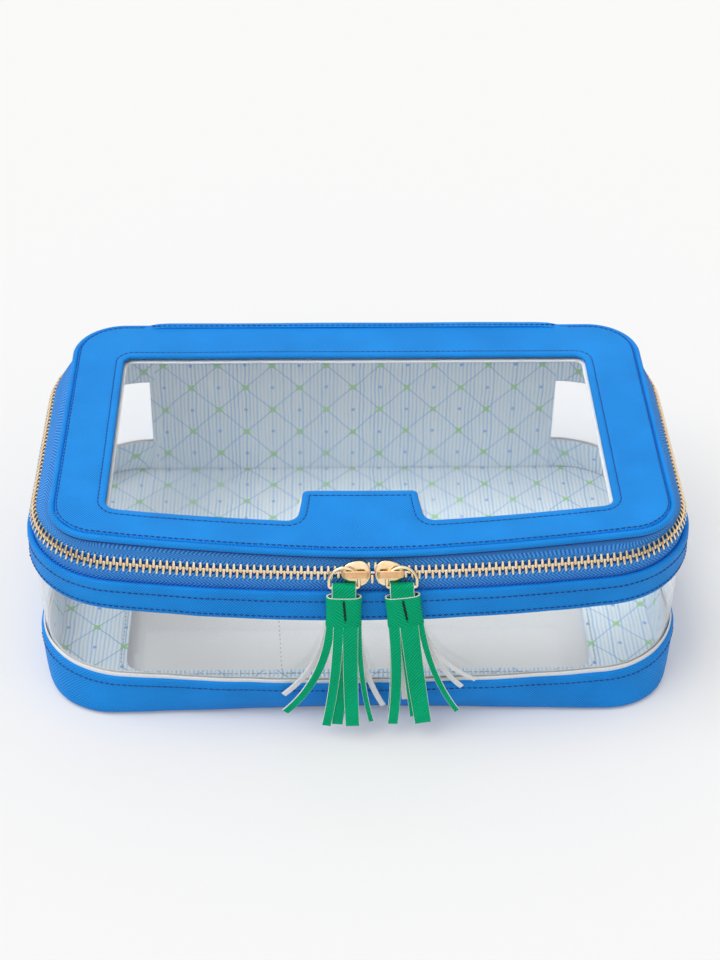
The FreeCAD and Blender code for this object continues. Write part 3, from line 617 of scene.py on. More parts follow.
printSpec = {   # pitches in metres, the rest as shares of a pitch
    "stripe": 0.0017, "stroke": 0.42, "trellis": 0.024, "line": 0.014, "star": 0.17, "dot": 0.06,
    "cloth": (0.90, 0.97, 1.0), "strokeColour": (0.40, 0.63, 0.90), "lineColour": (0.20, 0.45, 0.78),
    "dotColour": (0.13, 0.36, 0.75), "starColour": (0.33, 0.68, 0.27),
}


def printedLining():
    # A plain trellis with small stars and dots on finely striped pale cloth.
    p = printSpec
    material, nodes, links, shader = newMaterial("printedLining")
    tree = material.node_tree
    calc = partial(addMath, tree)
    vector, u, v = clothSplit(tree)
    wobble = calc("MULTIPLY", addNoise(tree, vector, 70, 2), 0.9)
    count = calc("ADD", calc("DIVIDE", u, p["stripe"]), wobble)
    each = nodes.new("ShaderNodeTexWhiteNoise")
    each.noise_dimensions = "1D"
    links.new(calc("FLOOR", count), each.inputs["W"])
    weight = addRange(tree, each.outputs["Value"], 0, 1, 0.35, 1.0)
    broken = nodes.new("ShaderNodeMapping")
    broken.inputs["Scale"].default_value = (500, 40, 1)
    links.new(vector, broken.inputs["Vector"])
    fade = addRange(tree, addNoise(tree, broken.outputs["Vector"], 1, 2), 0.22, 0.46)
    stroke = calc("LESS_THAN", calc("FRACT", count), p["stroke"])
    stroke = calc("MULTIPLY", calc("MULTIPLY", stroke, fade), weight)
    sway = calc("MULTIPLY", calc("SUBTRACT", addNoise(tree, vector, 60, 2), 0.5), 0.10)
    rising = calc("ADD", calc("DIVIDE", calc("ADD", u, v), p["trellis"]), sway)
    falling = calc("SUBTRACT", calc("DIVIDE", calc("SUBTRACT", u, v), p["trellis"]), sway)
    a, b = (calc("ABSOLUTE", calc("SUBTRACT", calc("FRACT", way), 0.5)) for way in (rising, falling))
    near, far = calc("MINIMUM", a, b), calc("MAXIMUM", a, b)
    line = calc("LESS_THAN", near, p["line"])
    star = calc("LESS_THAN", calc("ADD", calc("MULTIPLY", near, 2.6), far), p["star"])
    dot = calc("LESS_THAN", calc("SUBTRACT", 1.0, calc("ADD", a, b)), p["dot"])
    colour = addMix(tree, stroke, p["cloth"], p["strokeColour"])
    for mask, ink, name in ((line, 0.75, "line"), (dot, 0.8, "dot"), (star, 0.85, "star")):
        colour = addMix(tree, calc("MULTIPLY", mask, ink), colour, p[name + "Colour"])
    links.new(colour, shader.inputs["Base Color"])
    shader.inputs["Roughness"].default_value = 0.8
    addBump(tree, calc("MULTIPLY", addWave(tree, u, 9500), addWave(tree, v, 9500)), 0.3, 0.00015, shader)
    return material


def plainEdge():
    # Undyed backing and cut edges.
    material, nodes, links, shader = newMaterial("paleBacking")
    tree = material.node_tree
    fibre = addNoise(tree, nodes.new("ShaderNodeTexCoord").outputs["Object"], 1400, 4)
    tone = addMix(tree, addRange(tree, fibre, 0.3, 0.7), (0.84, 0.845, 0.84), (0.95, 0.955, 0.955))
    links.new(tone, shader.inputs["Base Color"])
    shader.inputs["Roughness"].default_value = 0.85
    addBump(tree, fibre, 0.3, 0.0002, shader)
    return material


blue = coatedCloth("blueLeatherette", (0.008, 0.31, 0.94), (0.012, 0.35, 1.0), pitch=0.0012, across=0.8,
                   rough=0.45, ridge=0.6, shine=0.17, depth=0.56)
green = coatedCloth("greenLeatherette", (0.001, 0.46, 0.20), (0.001, 0.62, 0.285), pitch=0.0014, across=0.12,
                    rough=0.6, ridge=1.0, shine=0.08, depth=0.52)
tapeBlue = tapeCloth("wovenTape", (0.008, 0.125, 0.60), (0.11, 0.46, 1.0))
# A darker copy of the tape for the strip next to the chain: painted shade between the teeth.
tapePaintedShade = tapeCloth("chainTapePaintedShade", (0.004, 0.05, 0.24), (0.015, 0.13, 0.50))
# Navy thread for the stitches; also the cord under the lid's roll, which paints a shadow line.
navy = threadCloth("navyThreadAndShadowCord", (0.003, 0.030, 0.20), (0.006, 0.062, 0.34))
# Dark green thread for the head's stitches, also painted inside its slit as shade.
darkGreen = threadCloth("darkGreenThreadAndSlitShade", (0.001, 0.035, 0.02), (0.002, 0.08, 0.04))
paleThread = threadCloth("paleThread", (0.42, 0.46, 0.50), (0.62, 0.66, 0.69))
gold = goldPlate("goldPlate", (0.93, 0.70, 0.40), (1.0, 0.83, 0.58))
# A darker, redder copy of the gold for the bridge bar's broad faces: painted shade.
goldPaintedShade = goldPlate("goldPaintedShade", (0.74, 0.43, 0.21), (0.84, 0.54, 0.30))
vinyl = clearVinyl()
lining = printedLining()
backing = plainEdge()
print("materials ready")


# Foot of the case: a band that curls under, its lining and the floor.
footBand = {"thick": 2.0, "curl": 2.2, "lift": 0.2, "stitchDrop": 3.2}


def buildFootBand():
    thick, curl = footBand["thick"], footBand["curl"]
    top, low, edge = footTop - thick / 2, curl + footBand["lift"], thick / 2
    profile = [(0, mix(low, top, i / 8)) for i in range(9)]
    profile += [(edge - edge * math.cos(a), top + edge * math.sin(a)) for a in roundTurns]
    profile += [(thick, mix(top, low, i / 8)) for i in range(9)]
    for radius, steps in ((curl - thick, (1, 2, 3, 4)), (curl, (4, 3, 2, 1))):
        turns = [quarter * i / 4 for i in steps]
        profile += [(curl - radius * math.cos(a), low - radius * math.sin(a)) for a in turns]
    band = makePiece("footBand", [loftPart(wallLoops(profile, panelHalf), False)], [blue])
    settle(band, "base", "blue_leatherette", "lower_band")
    row = wallRun(footTop - footBand["stitchDrop"], -0.1, panelHalf)
    settle(makePiece("footStitches", stitchParts(row), [navy]), "base", "blue_leatherette")


floorSpec = {"panelInset": 3.8, "sheetInset": 3.25, "border": 31, "frontBorder": 23.4, "backBorder": 47,
             "corner": 7, "panelOutset": 1.5, "stitchOutset": 2.2}


def floorWindow():
    shape = wallShape(2)
    return {"half": shape["halfWidth"] - floorSpec["border"], "back": caseDepth / 2 - floorSpec["backBorder"],
            "front": floorSpec["frontBorder"] - shape["reach"], "corner": floorSpec["corner"],
            "tabReach": 0, "frontRise": 0, "tabPinch": 0}


def flatRing(points, level):
    return [Vector((x, y + midY, level)) for x, y in points]


def tuckedRing(inset, level):
    points = flatRing(planRing(wallShape(level), inset), level)
    for point in points:
        point.y -= slack(0, point.x, point.y - midY, level) if point.y < midY else 0
    return points


def frameLoops(outer, inner, rows):
    return [[o.lerp(i, t / rows) for o, i in zip(outer, inner)] for t in range(rows + 1)]


def floorPart(node, inset, outset, rows):
    low, high = cadHeights(node)
    inner = windowRing(floorWindow(), outset)
    loops = frameLoops(tuckedRing(inset, high), flatRing(inner, high), rows[0])
    loops += frameLoops(flatRing(inner, low), tuckedRing(inset, low), rows[1])
    return loftPart(loops, plan=True)


def sheetPart(outline, low, high, wave, drop=None):
    # A thin solid sheet inside a closed outline, with gentle waves.
    def layer(level, share):
        loop = []
        for point in outline:
            x, y = point.x * share, midY + (point.y - midY) * share
            lift = wave * noise.noise(Vector((x * 0.022, y * 0.03, 3.1))) * (1 - share ** 6)
            loop.append(Vector((x, y, level + lift + (drop(x, y - midY) if drop else 0))))
        return loop

    shares = (0.01, 0.1, 0.2, 0.3, 0.4, 0.5, 0.6, 0.7, 0.8, 0.9, 1.0)
    loops = [layer(high, share) for share in shares] + [layer(low, share) for share in reversed(shares)]
    return loftPart(loops, True, False, plan=True)


def buildFloor():
    f = floorSpec
    inset = f["sheetInset"]
    part = floorPart("floor_panel", f["panelInset"], f["panelOutset"], (5, 5))
    settle(makePiece("floorFrame", [part], [blue]), "base", "blue_leatherette", "floor_panel")
    cloth = makePiece("floorLining", [floorPart("floor_lining", inset, 0, (6, 2))], [lining])
    settle(cloth, "base", "pale_lining", "floor_lining")
    top = cadHeights("floor_lining")[1]
    cut = flatArea([(p.x, p.y) for p in tuckedRing(inset, top)])
    hole = flatArea(windowRing(floorWindow()))
    2 * wallShape(top)["halfWidth"]
    low, high = cadHeights("floor_window")
    part = sheetPart(tuckedRing(inset, low), low + 0.1, high - 0.1, 0.0)
    clear = makePiece("floorSheet", [part], [vinyl])
    settle(clear, "base", "clear_vinyl", "floor_window")
    2 * wallShape(high)["halfWidth"]
    row = flatRing(windowRing(floorWindow(), f["stitchOutset"]), top + 0.1)
    settle(makePiece("floorStitches", stitchParts(row, True), [paleThread]), "base", "pale_lining")


# Walls: the clear sheet, its seam, and the linings and trim of the two bands.
wallSpec = {"inset": 2.15, "thick": 0.7, "tuck": 4.0, "end": 85, "seam": -31}
seamSpec = {"pitch": 2.1, "length": 0.8, "radius": 0.2, "wander": 0.05}
linerSpec = {"end": 88, "thick": 0.45, "footInset": 3.05, "upperInset": 3.1, "upperLow": 1.5, "upperHigh": 4}
trimSpec = {"rise": 1.4, "below": 3, "inset": 1.2, "thick": 0.7}


def buildWall():
    w = wallSpec
    profile = stripProfile(footTop - w["tuck"], bandFoot + w["tuck"], w["inset"], w["thick"], 14)
    clear = makePiece("clearWall", [loftPart(wallLoops(profile, w["end"]), False)], [vinyl])
    settle(clear, "base", "clear_vinyl", "wall_window")
    length = runLength(wallRun((footTop + bandFoot) / 2, w["inset"], w["end"]))
    seam = []
    for level in range(round(footTop) + 1, round(bandFoot)):
        seam.append(min(wallRun(level, w["inset"]), key=lambda p: abs(p.x - w["seam"]) + max(p.y, 0)))
    parts = stitchParts(seam, up=Vector((0, -1, 0)), spec=seamSpec)
    settle(makePiece("wallStitches", parts, [paleThread]), "base", "clear_vinyl")


def buildBandLinings():
    s = linerSpec
    low, high = cadHeights("band_lining")
    profile = stripProfile(low + 0.1, high, s["footInset"], s["thick"], 6)
    loops = wallLoops(profile, s["end"])
    part = loftPart(loops, False, slots=lambda k, i: 1 if k < len(profile) // 2 else 0)
    cloth = makePiece("footLining", [part], [lining, backing])
    settle(cloth, "base", "pale_lining", "band_lining")
    runLength(loops[0])
    t = trimSpec
    profile = stripProfile(footTop - t["below"], footTop + t["rise"], t["inset"], t["thick"], 4)
    part = loftPart(wallLoops(profile, panelHalf), False)
    settle(makePiece("footTrim", [part], [backing]), "base", "pale_lining")
    low, high = bandFoot + s["upperLow"], zipLevel - s["upperHigh"]
    loops = wallLoops(stripProfile(low, high, s["upperInset"], s["thick"], 6), s["end"])
    cloth = makePiece("upperLining", [loftPart(loops, False)], [lining])
    settle(cloth, "base", "pale_lining")
    runLength(loops[0])


upperBand = {"thick": 2.0, "foldHeight": 2.6, "foldSoft": 0.8, "foldOut": 0.35, "puff": 0.15,
             "rows": (4.0, 10.7)}   # drop of each row of stitches


def buildUpperBand():
    b = upperBand
    profile = []
    for inset, level in stripProfile(bandFoot, bandTop, 0, b["thick"], 12, b["puff"]):
        fold = smooth((level - bandTop + b["foldHeight"] + b["foldSoft"]) / b["foldSoft"])
        profile.append((inset - b["foldOut"] * fold if inset < b["thick"] / 2 else inset, level))
    band = makePiece("upperBand", [loftPart(wallLoops(profile, panelHalf), False)], [blue])
    settle(band, "base", "blue_leatherette", "upper_band")
    parts = []
    for drop in b["rows"]:
        parts += stitchParts(wallRun(bandTop - drop, -0.2, panelHalf))
    settle(makePiece("upperStitches", parts, [navy]), "base", "blue_leatherette")


# Zip: two woven tapes, two rows of teeth, two sliders. The chain leans back from the front.
# deep: how far from the chain the tape takes its darker copy, painted shade between the teeth.
zipSpec = {"tapeInset": 2.1, "tape": 0.6, "edge": 0.5, "chainInset": 2.4, "pitch": 2.54, "spread": 1.4,
           "meeting": 4.0, "tilt": 30, "deep": 1.6, "tuck": 0.7, "footRise": 4.5, "end": panelHalf - 2.5,
           "openHalf": 5.5, "openEase": 6, "leastCut": 10.5}   # a sheet's flat cut is at least 10 mm wide
zipLean = math.radians(zipSpec["tilt"])
toothSpec = {"leg": 0.4, "head": 0.5, "tip": 0.4, "reach": 2.65, "bite": 0.6, "depth": 1.9, "round": 0.1}
toothSwing = toothSpec["reach"] * math.sin(zipLean)
toothDrop = toothSpec["reach"] * math.cos(zipLean)


def zipAt(place, out, up, forward):
    # A point off the chain's middle line, on axes that lean with the chain.
    return (place + out * (forward * math.cos(zipLean) - up * math.sin(zipLean))
            + Vector((0, 0, up * math.cos(zipLean) + forward * math.sin(zipLean))))


def buildBaseTape():
    z = zipSpec
    foot, top = bandFoot + z["footRise"], zipLevel - z["edge"]
    keys = (foot, bandTop - 1, zipLevel - toothDrop, top)
    bulge = (0, 0, toothSwing, z["edge"] * math.tan(zipLean))
    profile = []
    for level in (mix(foot, top, i / 20) for i in range(21)):
        flat = (level - zipLevel + toothDrop) / toothDrop
        out = toothSwing * (1 - flat) if flat > 0 else max(eased(keys, bulge, level), 0)
        profile.append((z["tapeInset"] - out, level))
    loops = wallLoops(profile, z["end"])
    loops += wallLoops([(inset + z["tape"], level) for inset, level in reversed(profile)], z["end"])
    # Loops within deep of the chain take the darker tape: painted shade between the teeth.
    deep = sum(level < zipLevel - z["deep"] for inset, level in profile)
    part = loftPart(loops, False, slots=lambda k, i: 1 if deep <= k < len(loops) - deep - 1 else 0)
    tape = makePiece("baseTape", [part], [tapeBlue, tapePaintedShade])
    settle(tape, "base", "zip_tape", "base_tape")
    runLength(loops[0])


def buildLidTape():
    z = zipSpec
    low, high = zipLevel + z["edge"], rollLow.z + 0.3

    def leaf(t, extra):
        level = mix(low, high, t)
        lean = min(level - zipLevel, toothDrop) * math.tan(zipLean)
        bend = max((level - zipLevel - toothDrop) / (high - zipLevel - toothDrop), 0) ** 1.3
        chain = planRun(wallShape(zipLevel), z["tapeInset"] + lean + extra, z["end"])
        rim = planRun(lidShape, extra + z["tuck"], z["end"])
        loop = []
        for (ax, ay), (bx, by) in zip(chain, rim):
            x, y = mix(ax, bx, bend), mix(ay, by, bend)
            loop.append(Vector((x, y + midY, level + lidDrop(x, y) * t)))
        return loop

    steps = [i / 18 for i in range(19)]
    loops = [leaf(t, 0) for t in steps] + [leaf(t, z["tape"]) for t in reversed(steps)]
    # Loops within deep of the chain take the darker tape: painted shade between the teeth.
    deep = sum(mix(low, high, t) < zipLevel + z["deep"] for t in steps)
    part = loftPart(loops, False, slots=lambda k, i: 1 if k < deep or k >= len(loops) - deep - 1 else 0)
    tape = makePiece("lidTape", [part], [tapeBlue, tapePaintedShade])
    settle(tape, "lid", "zip_tape", "lid_tape")
    middle = len(loops[0]) // 2
    rise = (loops[0][middle] - loops[18][middle]).length
    max(rise, z["leastCut"])
    runLength(loops[9])


def toothTemplate():
    t = toothSpec
    half = [(t["tip"], -t["bite"]), (t["head"], -t["bite"] * 0.5), (t["head"], 0.35),
            (t["leg"], 0.85), (t["leg"], t["reach"])]
    outline = half + [(-u, w) for u, w in reversed(half)]
    build = bmesh.new()
    front = [build.verts.new((u, -t["depth"] / 2, w)) for u, w in outline]
    rear = [build.verts.new((u, t["depth"] / 2, w)) for u, w in outline]
    build.faces.new(front)
    build.faces.new(list(reversed(rear)))
    for i in range(len(outline)):
        j = (i + 1) % len(outline)
        build.faces.new((front[i], rear[i], rear[j], front[j]))
    bmesh.ops.bevel(build, geom=build.edges[:], offset=t["round"], segments=2, profile=0.5, affect="EDGES")
    bmesh.ops.recalc_face_normals(build, faces=build.faces)
    build.verts.index_update()
    verts = [v.co.copy() for v in build.verts]
    faces = [[v.index for v in f.verts] for f in build.faces]
    build.free()
    return verts, faces


def buildTeeth():
    verts, faces = toothTemplate()
    blank = [[(0, 0)] * len(f) for f in faces]
    chain = flatRing(planRun(wallShape(zipLevel), zipSpec["chainInset"]), zipLevel)[3:-3]
    middle = runLength(chain) / 2
    places = walk(chain, zipSpec["pitch"] / 2)
    step = middle * 2 / len(places)
    for name, first, sign, body in (("baseTeeth", 0, -1, "base"), ("lidTeeth", 1, 1, "lid")):
        parts = []
        for n in range(first, len(places), 2):
            place, heading = places[n]
            along = middle - (n + 0.5) * step
            near = (abs(along - zipSpec["meeting"]) - zipSpec["openHalf"]) / zipSpec["openEase"]
            apart = zipSpec["spread"] * (1 - smooth(near))
            out = Vector((-heading.y, heading.x, 0))
            moved = [zipAt(place + heading * v.x, out, sign * (v.z + apart), -v.y) * mm for v in verts]
            parts.append((moved, faces, blank, [0] * len(faces)))
        settle(makePiece(name, parts, [gold], 50), body, "gold_metal", body + "_teeth")


sliderSpec = {"nose": 4.2, "tail": 7.0, "wide": 4.9, "middle": 1.4, "plateIn": 0.7, "plateOut": 1.6,
              "dome": 0.35, "bridgeTop": 6.3, "bridgeBar": 1.1, "tailCurve": 0.8, "shoulder": 0.75,
              "tailNarrow": 0.3, "tailEase": 1.3}
sliderRear = ((0.02, -0.9), (0.9, -0.9), (0.97, -1.1), (0.97, -1.6), (0.9, -1.8), (0.02, -1.8))
sliderPost = ((2.4, 0.6), (4.1, 1.0), (4.1, -1.0), (2.4, -0.6))


def chainPlace(distance):
    radius, hub = planParts(wallShape(zipLevel), zipSpec["chainInset"])[3:5]
    angle = distance / radius
    place = Vector((radius * math.sin(angle), hub - radius * math.cos(angle) + midY, zipLevel))
    along = Vector((math.cos(angle), math.sin(angle), 0))
    return place, along, Vector((along.y, -along.x, 0))


def petal(size, count=48):
    # Broad round nose, a narrower tail with soft shoulders.
    s = sliderSpec
    points = []
    for i in range(count):
        a = math.pi * 2 * i / count
        c, w = math.cos(a), math.sin(a)
        if c > 0:
            u, wide = s["nose"] * c, s["wide"] * w
        else:
            u = -s["tail"] * abs(c) ** s["tailCurve"]
            wide = s["wide"] * math.copysign(abs(w) ** s["shoulder"], w)
            wide *= 1 - s["tailNarrow"] * abs(c) ** s["tailEase"]
        points.append((s["middle"] + u * size, wide * size))
    return points


def buildSliders():
    s = sliderSpec
    inside, outside, dome = s["plateIn"], s["plateOut"], s["dome"]
    bar = s["bridgeTop"] - s["bridgeBar"] / 2
    # plate: size, out; bridge: along, out, half width
    plate = [(0.02, inside), (0.9, inside), (0.98, inside + 0.25), (1.0, inside + 0.55),
             (0.985, outside - 0.1), (0.93, outside + 0.12), (0.8, outside + dome * 0.6),
             (0.55, outside + dome * 0.9), (0.25, outside + dome), (0.02, outside + dome)]
    bridge = [(-4.6, inside + 0.5, 1.0), (-4.6, bar - 1.0, 1.1), (-4.5, bar - 0.35, 1.3),
              (-4.1, bar - 0.04, 1.38), (-2.5, bar, 1.4), (-0.5, bar + 0.03, 1.4), (2.0, bar, 1.4),
              (3.7, bar - 0.04, 1.38), (4.1, bar - 0.35, 1.3), (4.2, bar - 1.0, 1.1),
              (4.2, inside + 0.5, 1.0)]
    for side, direction in (("left", 1), ("right", -1)):
        node = "slider_" + side
        low, high = cadSpan(node)
        origin, along, out = chainPlace((low.x + high.x) / 2)

        def at(w, u, v):
            return zipAt(origin + along * direction * u, out, w, v)

        outlines = [[(petal(size), v) for size, v in plate], [(petal(size), v) for size, v in sliderRear],
                    [(sliderPost, v) for v in (-inside, 0, inside)]]
        parts = []
        for rows in outlines:
            parts.append(loftPart([[at(w, u, v) for u, w in outline] for outline, v in rows], True, False))
        # The bridge bar's broad faces take the darker gold, painted shade; its edges stay gold.
        parts.append(ribbonPart(ribbonPath(bridge, at, -1), s["bridgeBar"], 0.22, 1, 0, 1))
        settle(makePiece("slider." + side, parts, [gold, goldPaintedShade], 35), node, "gold_metal", node)


# Pulls: a wire ring and a tassel on each slider.
ringSpec = {"wire": 0.65, "side": 5.65, "corner": 0.9, "straight": 1.35, "lean": 9.5}


def pullFrame(side):
    # Origin on the ring's straight side, axes across, down and outwards.
    swing, lift = jointOf[side + "_ring_swing"], jointOf[side + "_tassel_lift"]
    out = Vector(swing["axis"]) * (-1 if side == "left" else 1)
    across = Vector(lift["axis"]) * -1
    down = across.cross(out)
    if down.z > 0:
        down = down * -1
    return Vector(lift["pos_m"]) / mm, across.normalized(), down.normalized(), out.normalized()


def buildRings():
    corner, half = ringSpec["corner"], ringSpec["side"]
    inner, knee = half - corner, corner + ringSpec["straight"]
    plan = linePoints((-inner, 0), (inner, 0), 8)
    plan += arcPoints(inner, corner, corner, -quarter, 0, 6)
    plan += linePoints((half, corner), (half, knee), 2)
    plan += arcPoints(0, knee, half, 0, math.pi, 36)
    plan += linePoints((-half, knee), (-half, corner), 2)
    plan += arcPoints(-inner, corner, corner, math.pi, math.pi * 1.5, 6)
    lean = math.radians(ringSpec["lean"])
    for side in ("left", "right"):
        origin, across, down, out = pullFrame(side)
        up = out * -math.sin(lean) - down * math.cos(lean)
        path = [origin + across * u + up * rise for u, rise in plan]
        ring = makePiece("pullRing." + side, [tubePart(path, ringSpec["wire"])], [gold], 60)
        settle(ring, "ring_" + side, "gold_metal", "pull_ring_" + side)


strapSpec = {"half": 4.55, "thick": 0.95, "wrap": 1.35,
             "lay": ((0.5, 1.35), (2, 1.28), (4, 1.1), (6.5, 0.85), (8.0, 0.75))}   # down, out
headSpec = {"top": 3.8, "foot": 16.3, "half": 6.75, "deep": 2.35, "thick": 0.62, "slit": 0.7,
            "slitAt": 0.3, "slitLean": 0.1, "slitWide": 0.34, "slitClear": 1.5, "slitSpan": 1.2,
            "slitPull": 3, "roundWide": 0.62, "roundDeep": 0.75}
headThread = {"pitch": 1.6, "length": 1.5, "radius": 0.16, "wander": 0}
fringeSpec = {"steps": 20, "early": 0.22, "curl": 2.1, "outward": 1.5, "ripple": 0.25, "longer": 1.2,
              "rise": 0.12, "twist": 0.012, "taper": 0.1, "thin": 0.95, "bevel": 0.12}
tasselSpec = {
    # strips: start across, tip across, start depth, tip out, length, half width, shows its back
    "left": {"lean": -0.5, "strips": (
        (-5.0, -22.2, 0.0, -3.6, 45.5, 1.72, False), (-5.3, -22.8, 3.2, -5.0, 40.0, 1.25, True),
        (-1.9, -6.2, 0.0, 0.6, 46.0, 2.0, False), (0.2, -1.9, 0.75, -0.2, 45.6, 2.4, False),
        (2.6, 4.0, 0.0, 1.7, 44.6, 3.0, False), (5.8, 11.4, 0.0, -0.4, 45.2, 1.1, False),
        (5.2, 16.0, 3.2, -3.8, 43.0, 1.2, True), (0.4, 0.6, 3.2, -1.8, 43.0, 2.2, False))},
    "right": {"lean": 6.5, "strips": (
        (-5.2, -9.6, 3.0, -2.2, 42.0, 1.5, False), (-4.5, -9.6, 0.0, 0.4, 44.6, 2.2, False),
        (-1.6, -3.0, 3.2, -2.6, 37.0, 2.2, True), (1.2, 2.2, 0.0, 1.9, 43.8, 3.6, False),
        (5.6, 15.8, 0.0, -0.6, 44.0, 1.25, False), (5.4, 18.6, 3.2, -4.6, 38.0, 1.15, True),
        (5.0, 24.2, 3.4, -5.2, 37.0, 1.0, True), (-1.4, -1.2, 0.8, -0.8, 42.0, 1.6, False))},
}


def buildTassels():
    wrap, half = strapSpec["wrap"], strapSpec["half"]
    route = [(d, -n, half) for d, n in reversed(strapSpec["lay"])]
    route += [(-wrap * math.sin(a), -wrap * math.cos(a), half) for a in (math.pi * i / 10 for i in range(11))]
    route += [(d, n, half) for d, n in strapSpec["lay"]]
    for side in ("left", "right"):
        origin, across, down, out = pullFrame(side)
        slope = math.tan(math.radians(tasselSpec[side]["lean"]))

        def at(u, d, n):
            swing = slope * max(d - 1.5, 0)
            return origin + across * (u + swing) + down * (d - u * slope * smooth(d / 5)) + out * n

        part = ribbonPart(ribbonPath(route, at), strapSpec["thick"])
        strap = makePiece("tasselStrap." + side, [part], [green, backing])
        settle(strap, "tassel_" + side, "green_leatherette", "tassel_loop_" + side)
        buildHead(side, at)
        buildFringe(side, at)


def headOutline(half, deep, slit, middle, count=64):
    h = headSpec
    points = []
    for a in (math.pi * 2 * i / count for i in range(count)):
        c, s = math.cos(a), math.sin(a)
        u, n = math.copysign(abs(c) ** h["roundWide"], c), math.copysign(abs(s) ** h["roundDeep"], s)
        points.append((u * half, n * deep))
    front = [p for p in points if p[1] > 0 and abs(p[0] - h["slitAt"]) > h["slitClear"]]
    front += [(h["slitAt"] + h["slitSpan"] * i / 6, deep) for i in range(-6, 7)]   # closer over the slit
    front.sort(key=lambda p: -p[0])
    shaped = []
    for u, n in front:
        shift = middle * max(1 - abs(u - h["slitAt"]) / h["slitPull"], 0)
        shaped.append((u + shift, n - slit * math.exp(-((u - h["slitAt"]) / h["slitWide"]) ** 2)))
    return shaped + [p for p in points if p[1] <= 0]


def buildHead(side, at):
    h = headSpec
    top, foot = h["top"], h["foot"]
    levels = [(top, 0.985, 0.1), (top + 0.5, 1.0, 0.3)]   # down, size, share of the slit
    for i in range(9):
        levels.append((mix(top + 1.3, foot - 2.6, i / 8), 1.0 - 0.02 * math.sin(math.pi * i / 8), 1.0))
    levels += [(foot - 1.4, 1.01, 0.15), (foot, 1.02, 0.0)]

    def slitPlace(d):
        return (d - top - 5) * h["slitLean"]

    def loop(d, size, slit, thin):
        middle = slitPlace(d) + 0.09 * math.sin(d * 2.6)
        ring = headOutline(h["half"] * size - thin, h["deep"] * size - thin, h["slit"] * slit, middle)
        return [at(u, d, n) for u, n in ring]

    loops = [loop(*level, 0) for level in levels] + [loop(*level, h["thick"]) for level in reversed(levels)]
    rows = len(levels)
    inSlit = [n > 0 and abs(u - h["slitAt"]) < 0.42 for u, n in headOutline(h["half"], h["deep"], 0, 0)]

    # Faces inside the slit take the very dark green thread colour: painted shade in the groove.
    def mark(k, i):
        if k < rows - 1:
            return 2 if 1 < k < rows - 3 and inSlit[i] and inSlit[(i + 1) % len(inSlit)] else 0
        return 1 if k in (rows - 1, 2 * rows - 1) else 0

    head = makePiece("tasselHead." + side, [loftPart(loops, slots=mark)], [green, backing, darkGreen])
    settle(head, "tassel_" + side, "green_leatherette", "tassel_head_" + side)
    parts = []
    for n in range(6):
        d = mix(top + 1.6, foot - 3.6, n / 5)
        here, face = h["slitAt"] + slitPlace(d), h["deep"] - 0.06
        ends = [at(here - 0.75, d + 0.35, face), at(here + 0.75, d - 0.35, face)]
        parts += stitchParts(ends, up=Vector((0, -1, 0)), spec=headThread)
    settle(makePiece("headStitches." + side, parts, [darkGreen]), "tassel_" + side, "green_leatherette")


def headFront(u):
    # How far the head's front stands out at a place across it.
    return headSpec["deep"] * (1 - min(abs(u) / headSpec["half"], 0.99) ** 3.2) ** 0.4


def buildFringe(side, at):
    f = fringeSpec
    steps, thick = f["steps"], headSpec["thick"]
    face = (at(0, 10, 1) - at(0, 10, 0)).normalized()
    parts = []
    for start, tip, depth, tipOut, length, half, shown in tasselSpec[side]["strips"]:
        top = headSpec["foot"] - (0.1 if depth < 1 else 2)
        begin = headFront(start) - thick / 2 - depth
        spot = []
        for t in (i / steps for i in range(steps + 1)):
            u = start + (tip - start) * (f["early"] * t + (1 - f["early"]) * t ** f["curl"])
            n = begin + (tipOut - begin) * t ** f["outward"] + f["ripple"] * t * math.sin(t * 5 + start)
            rise = f["rise"] * abs(tip - start) / 24 * t ** 3
            spot.append(at(u, top + (length + f["longer"]) * (t - rise), n))
        path = []
        for i, here in enumerate(spot):
            heading = (spot[min(i + 1, steps)] - spot[max(i - 1, 0)]).normalized()
            turn = (tip - start) * f["twist"] * (i / steps)
            over = heading.cross(face).normalized() * -1
            over = (over * math.cos(turn) + face * math.sin(turn)).normalized()
            path.append((here, over, heading.cross(over), half * (1 - f["taper"] * i / steps)))
        front, rear = (1, 0) if shown else (0, 1)
        parts.append(ribbonPart(path, thick * f["thin"], f["bevel"], front, 1, rear))
    fringe = makePiece("tasselFringe." + side, parts, [green, backing])
    settle(fringe, "tassel_" + side, "green_leatherette", "tassel_fringe_" + side)


# Lid: a soft frame with a rolled edge, a clear sheet and a pale facing under it.
# seam is the radius of the navy cord under the roll, a painted shadow line.
lidSpec = {"dip": 1.7, "dipWide": 44, "dipFrom": 36, "dipOver": 34, "wave": 0.3, "stitchIn": 3.2,
           "stitchOut": 1.55, "rim": 1.0, "rollUnder": 3.5, "seam": 0.42, "sheetInset": 1.8,
           "facingInset": 2.0}
lidWindow = {"half": 98, "back": 53.6, "front": -58.0, "corner": 4.0, "tabHalf": 24.2, "tabReach": 17.8,
             "tabBase": 4.5, "tabTop": 2.6, "tabPinch": 0.07, "frontRise": 8.0}


def lidDrop(x, y):
    f = lidSpec
    front = smooth((-y - f["dipFrom"]) / f["dipOver"])
    dip = -f["dip"] * math.exp(-(x / f["dipWide"]) ** 2) * front
    return dip + f["wave"] * noise.noise(Vector((x * 0.02, y * 0.02, 9.7)))


def lidLoop(points, level):
    return [Vector((x, y + midY, level + lidDrop(x, y))) for x, y in points]


def lidNear(outset, level):
    return lidLoop(windowRing(lidWindow, outset), level)


def lidFar(inset, level):
    return lidLoop(planRing(lidShape, inset), level)


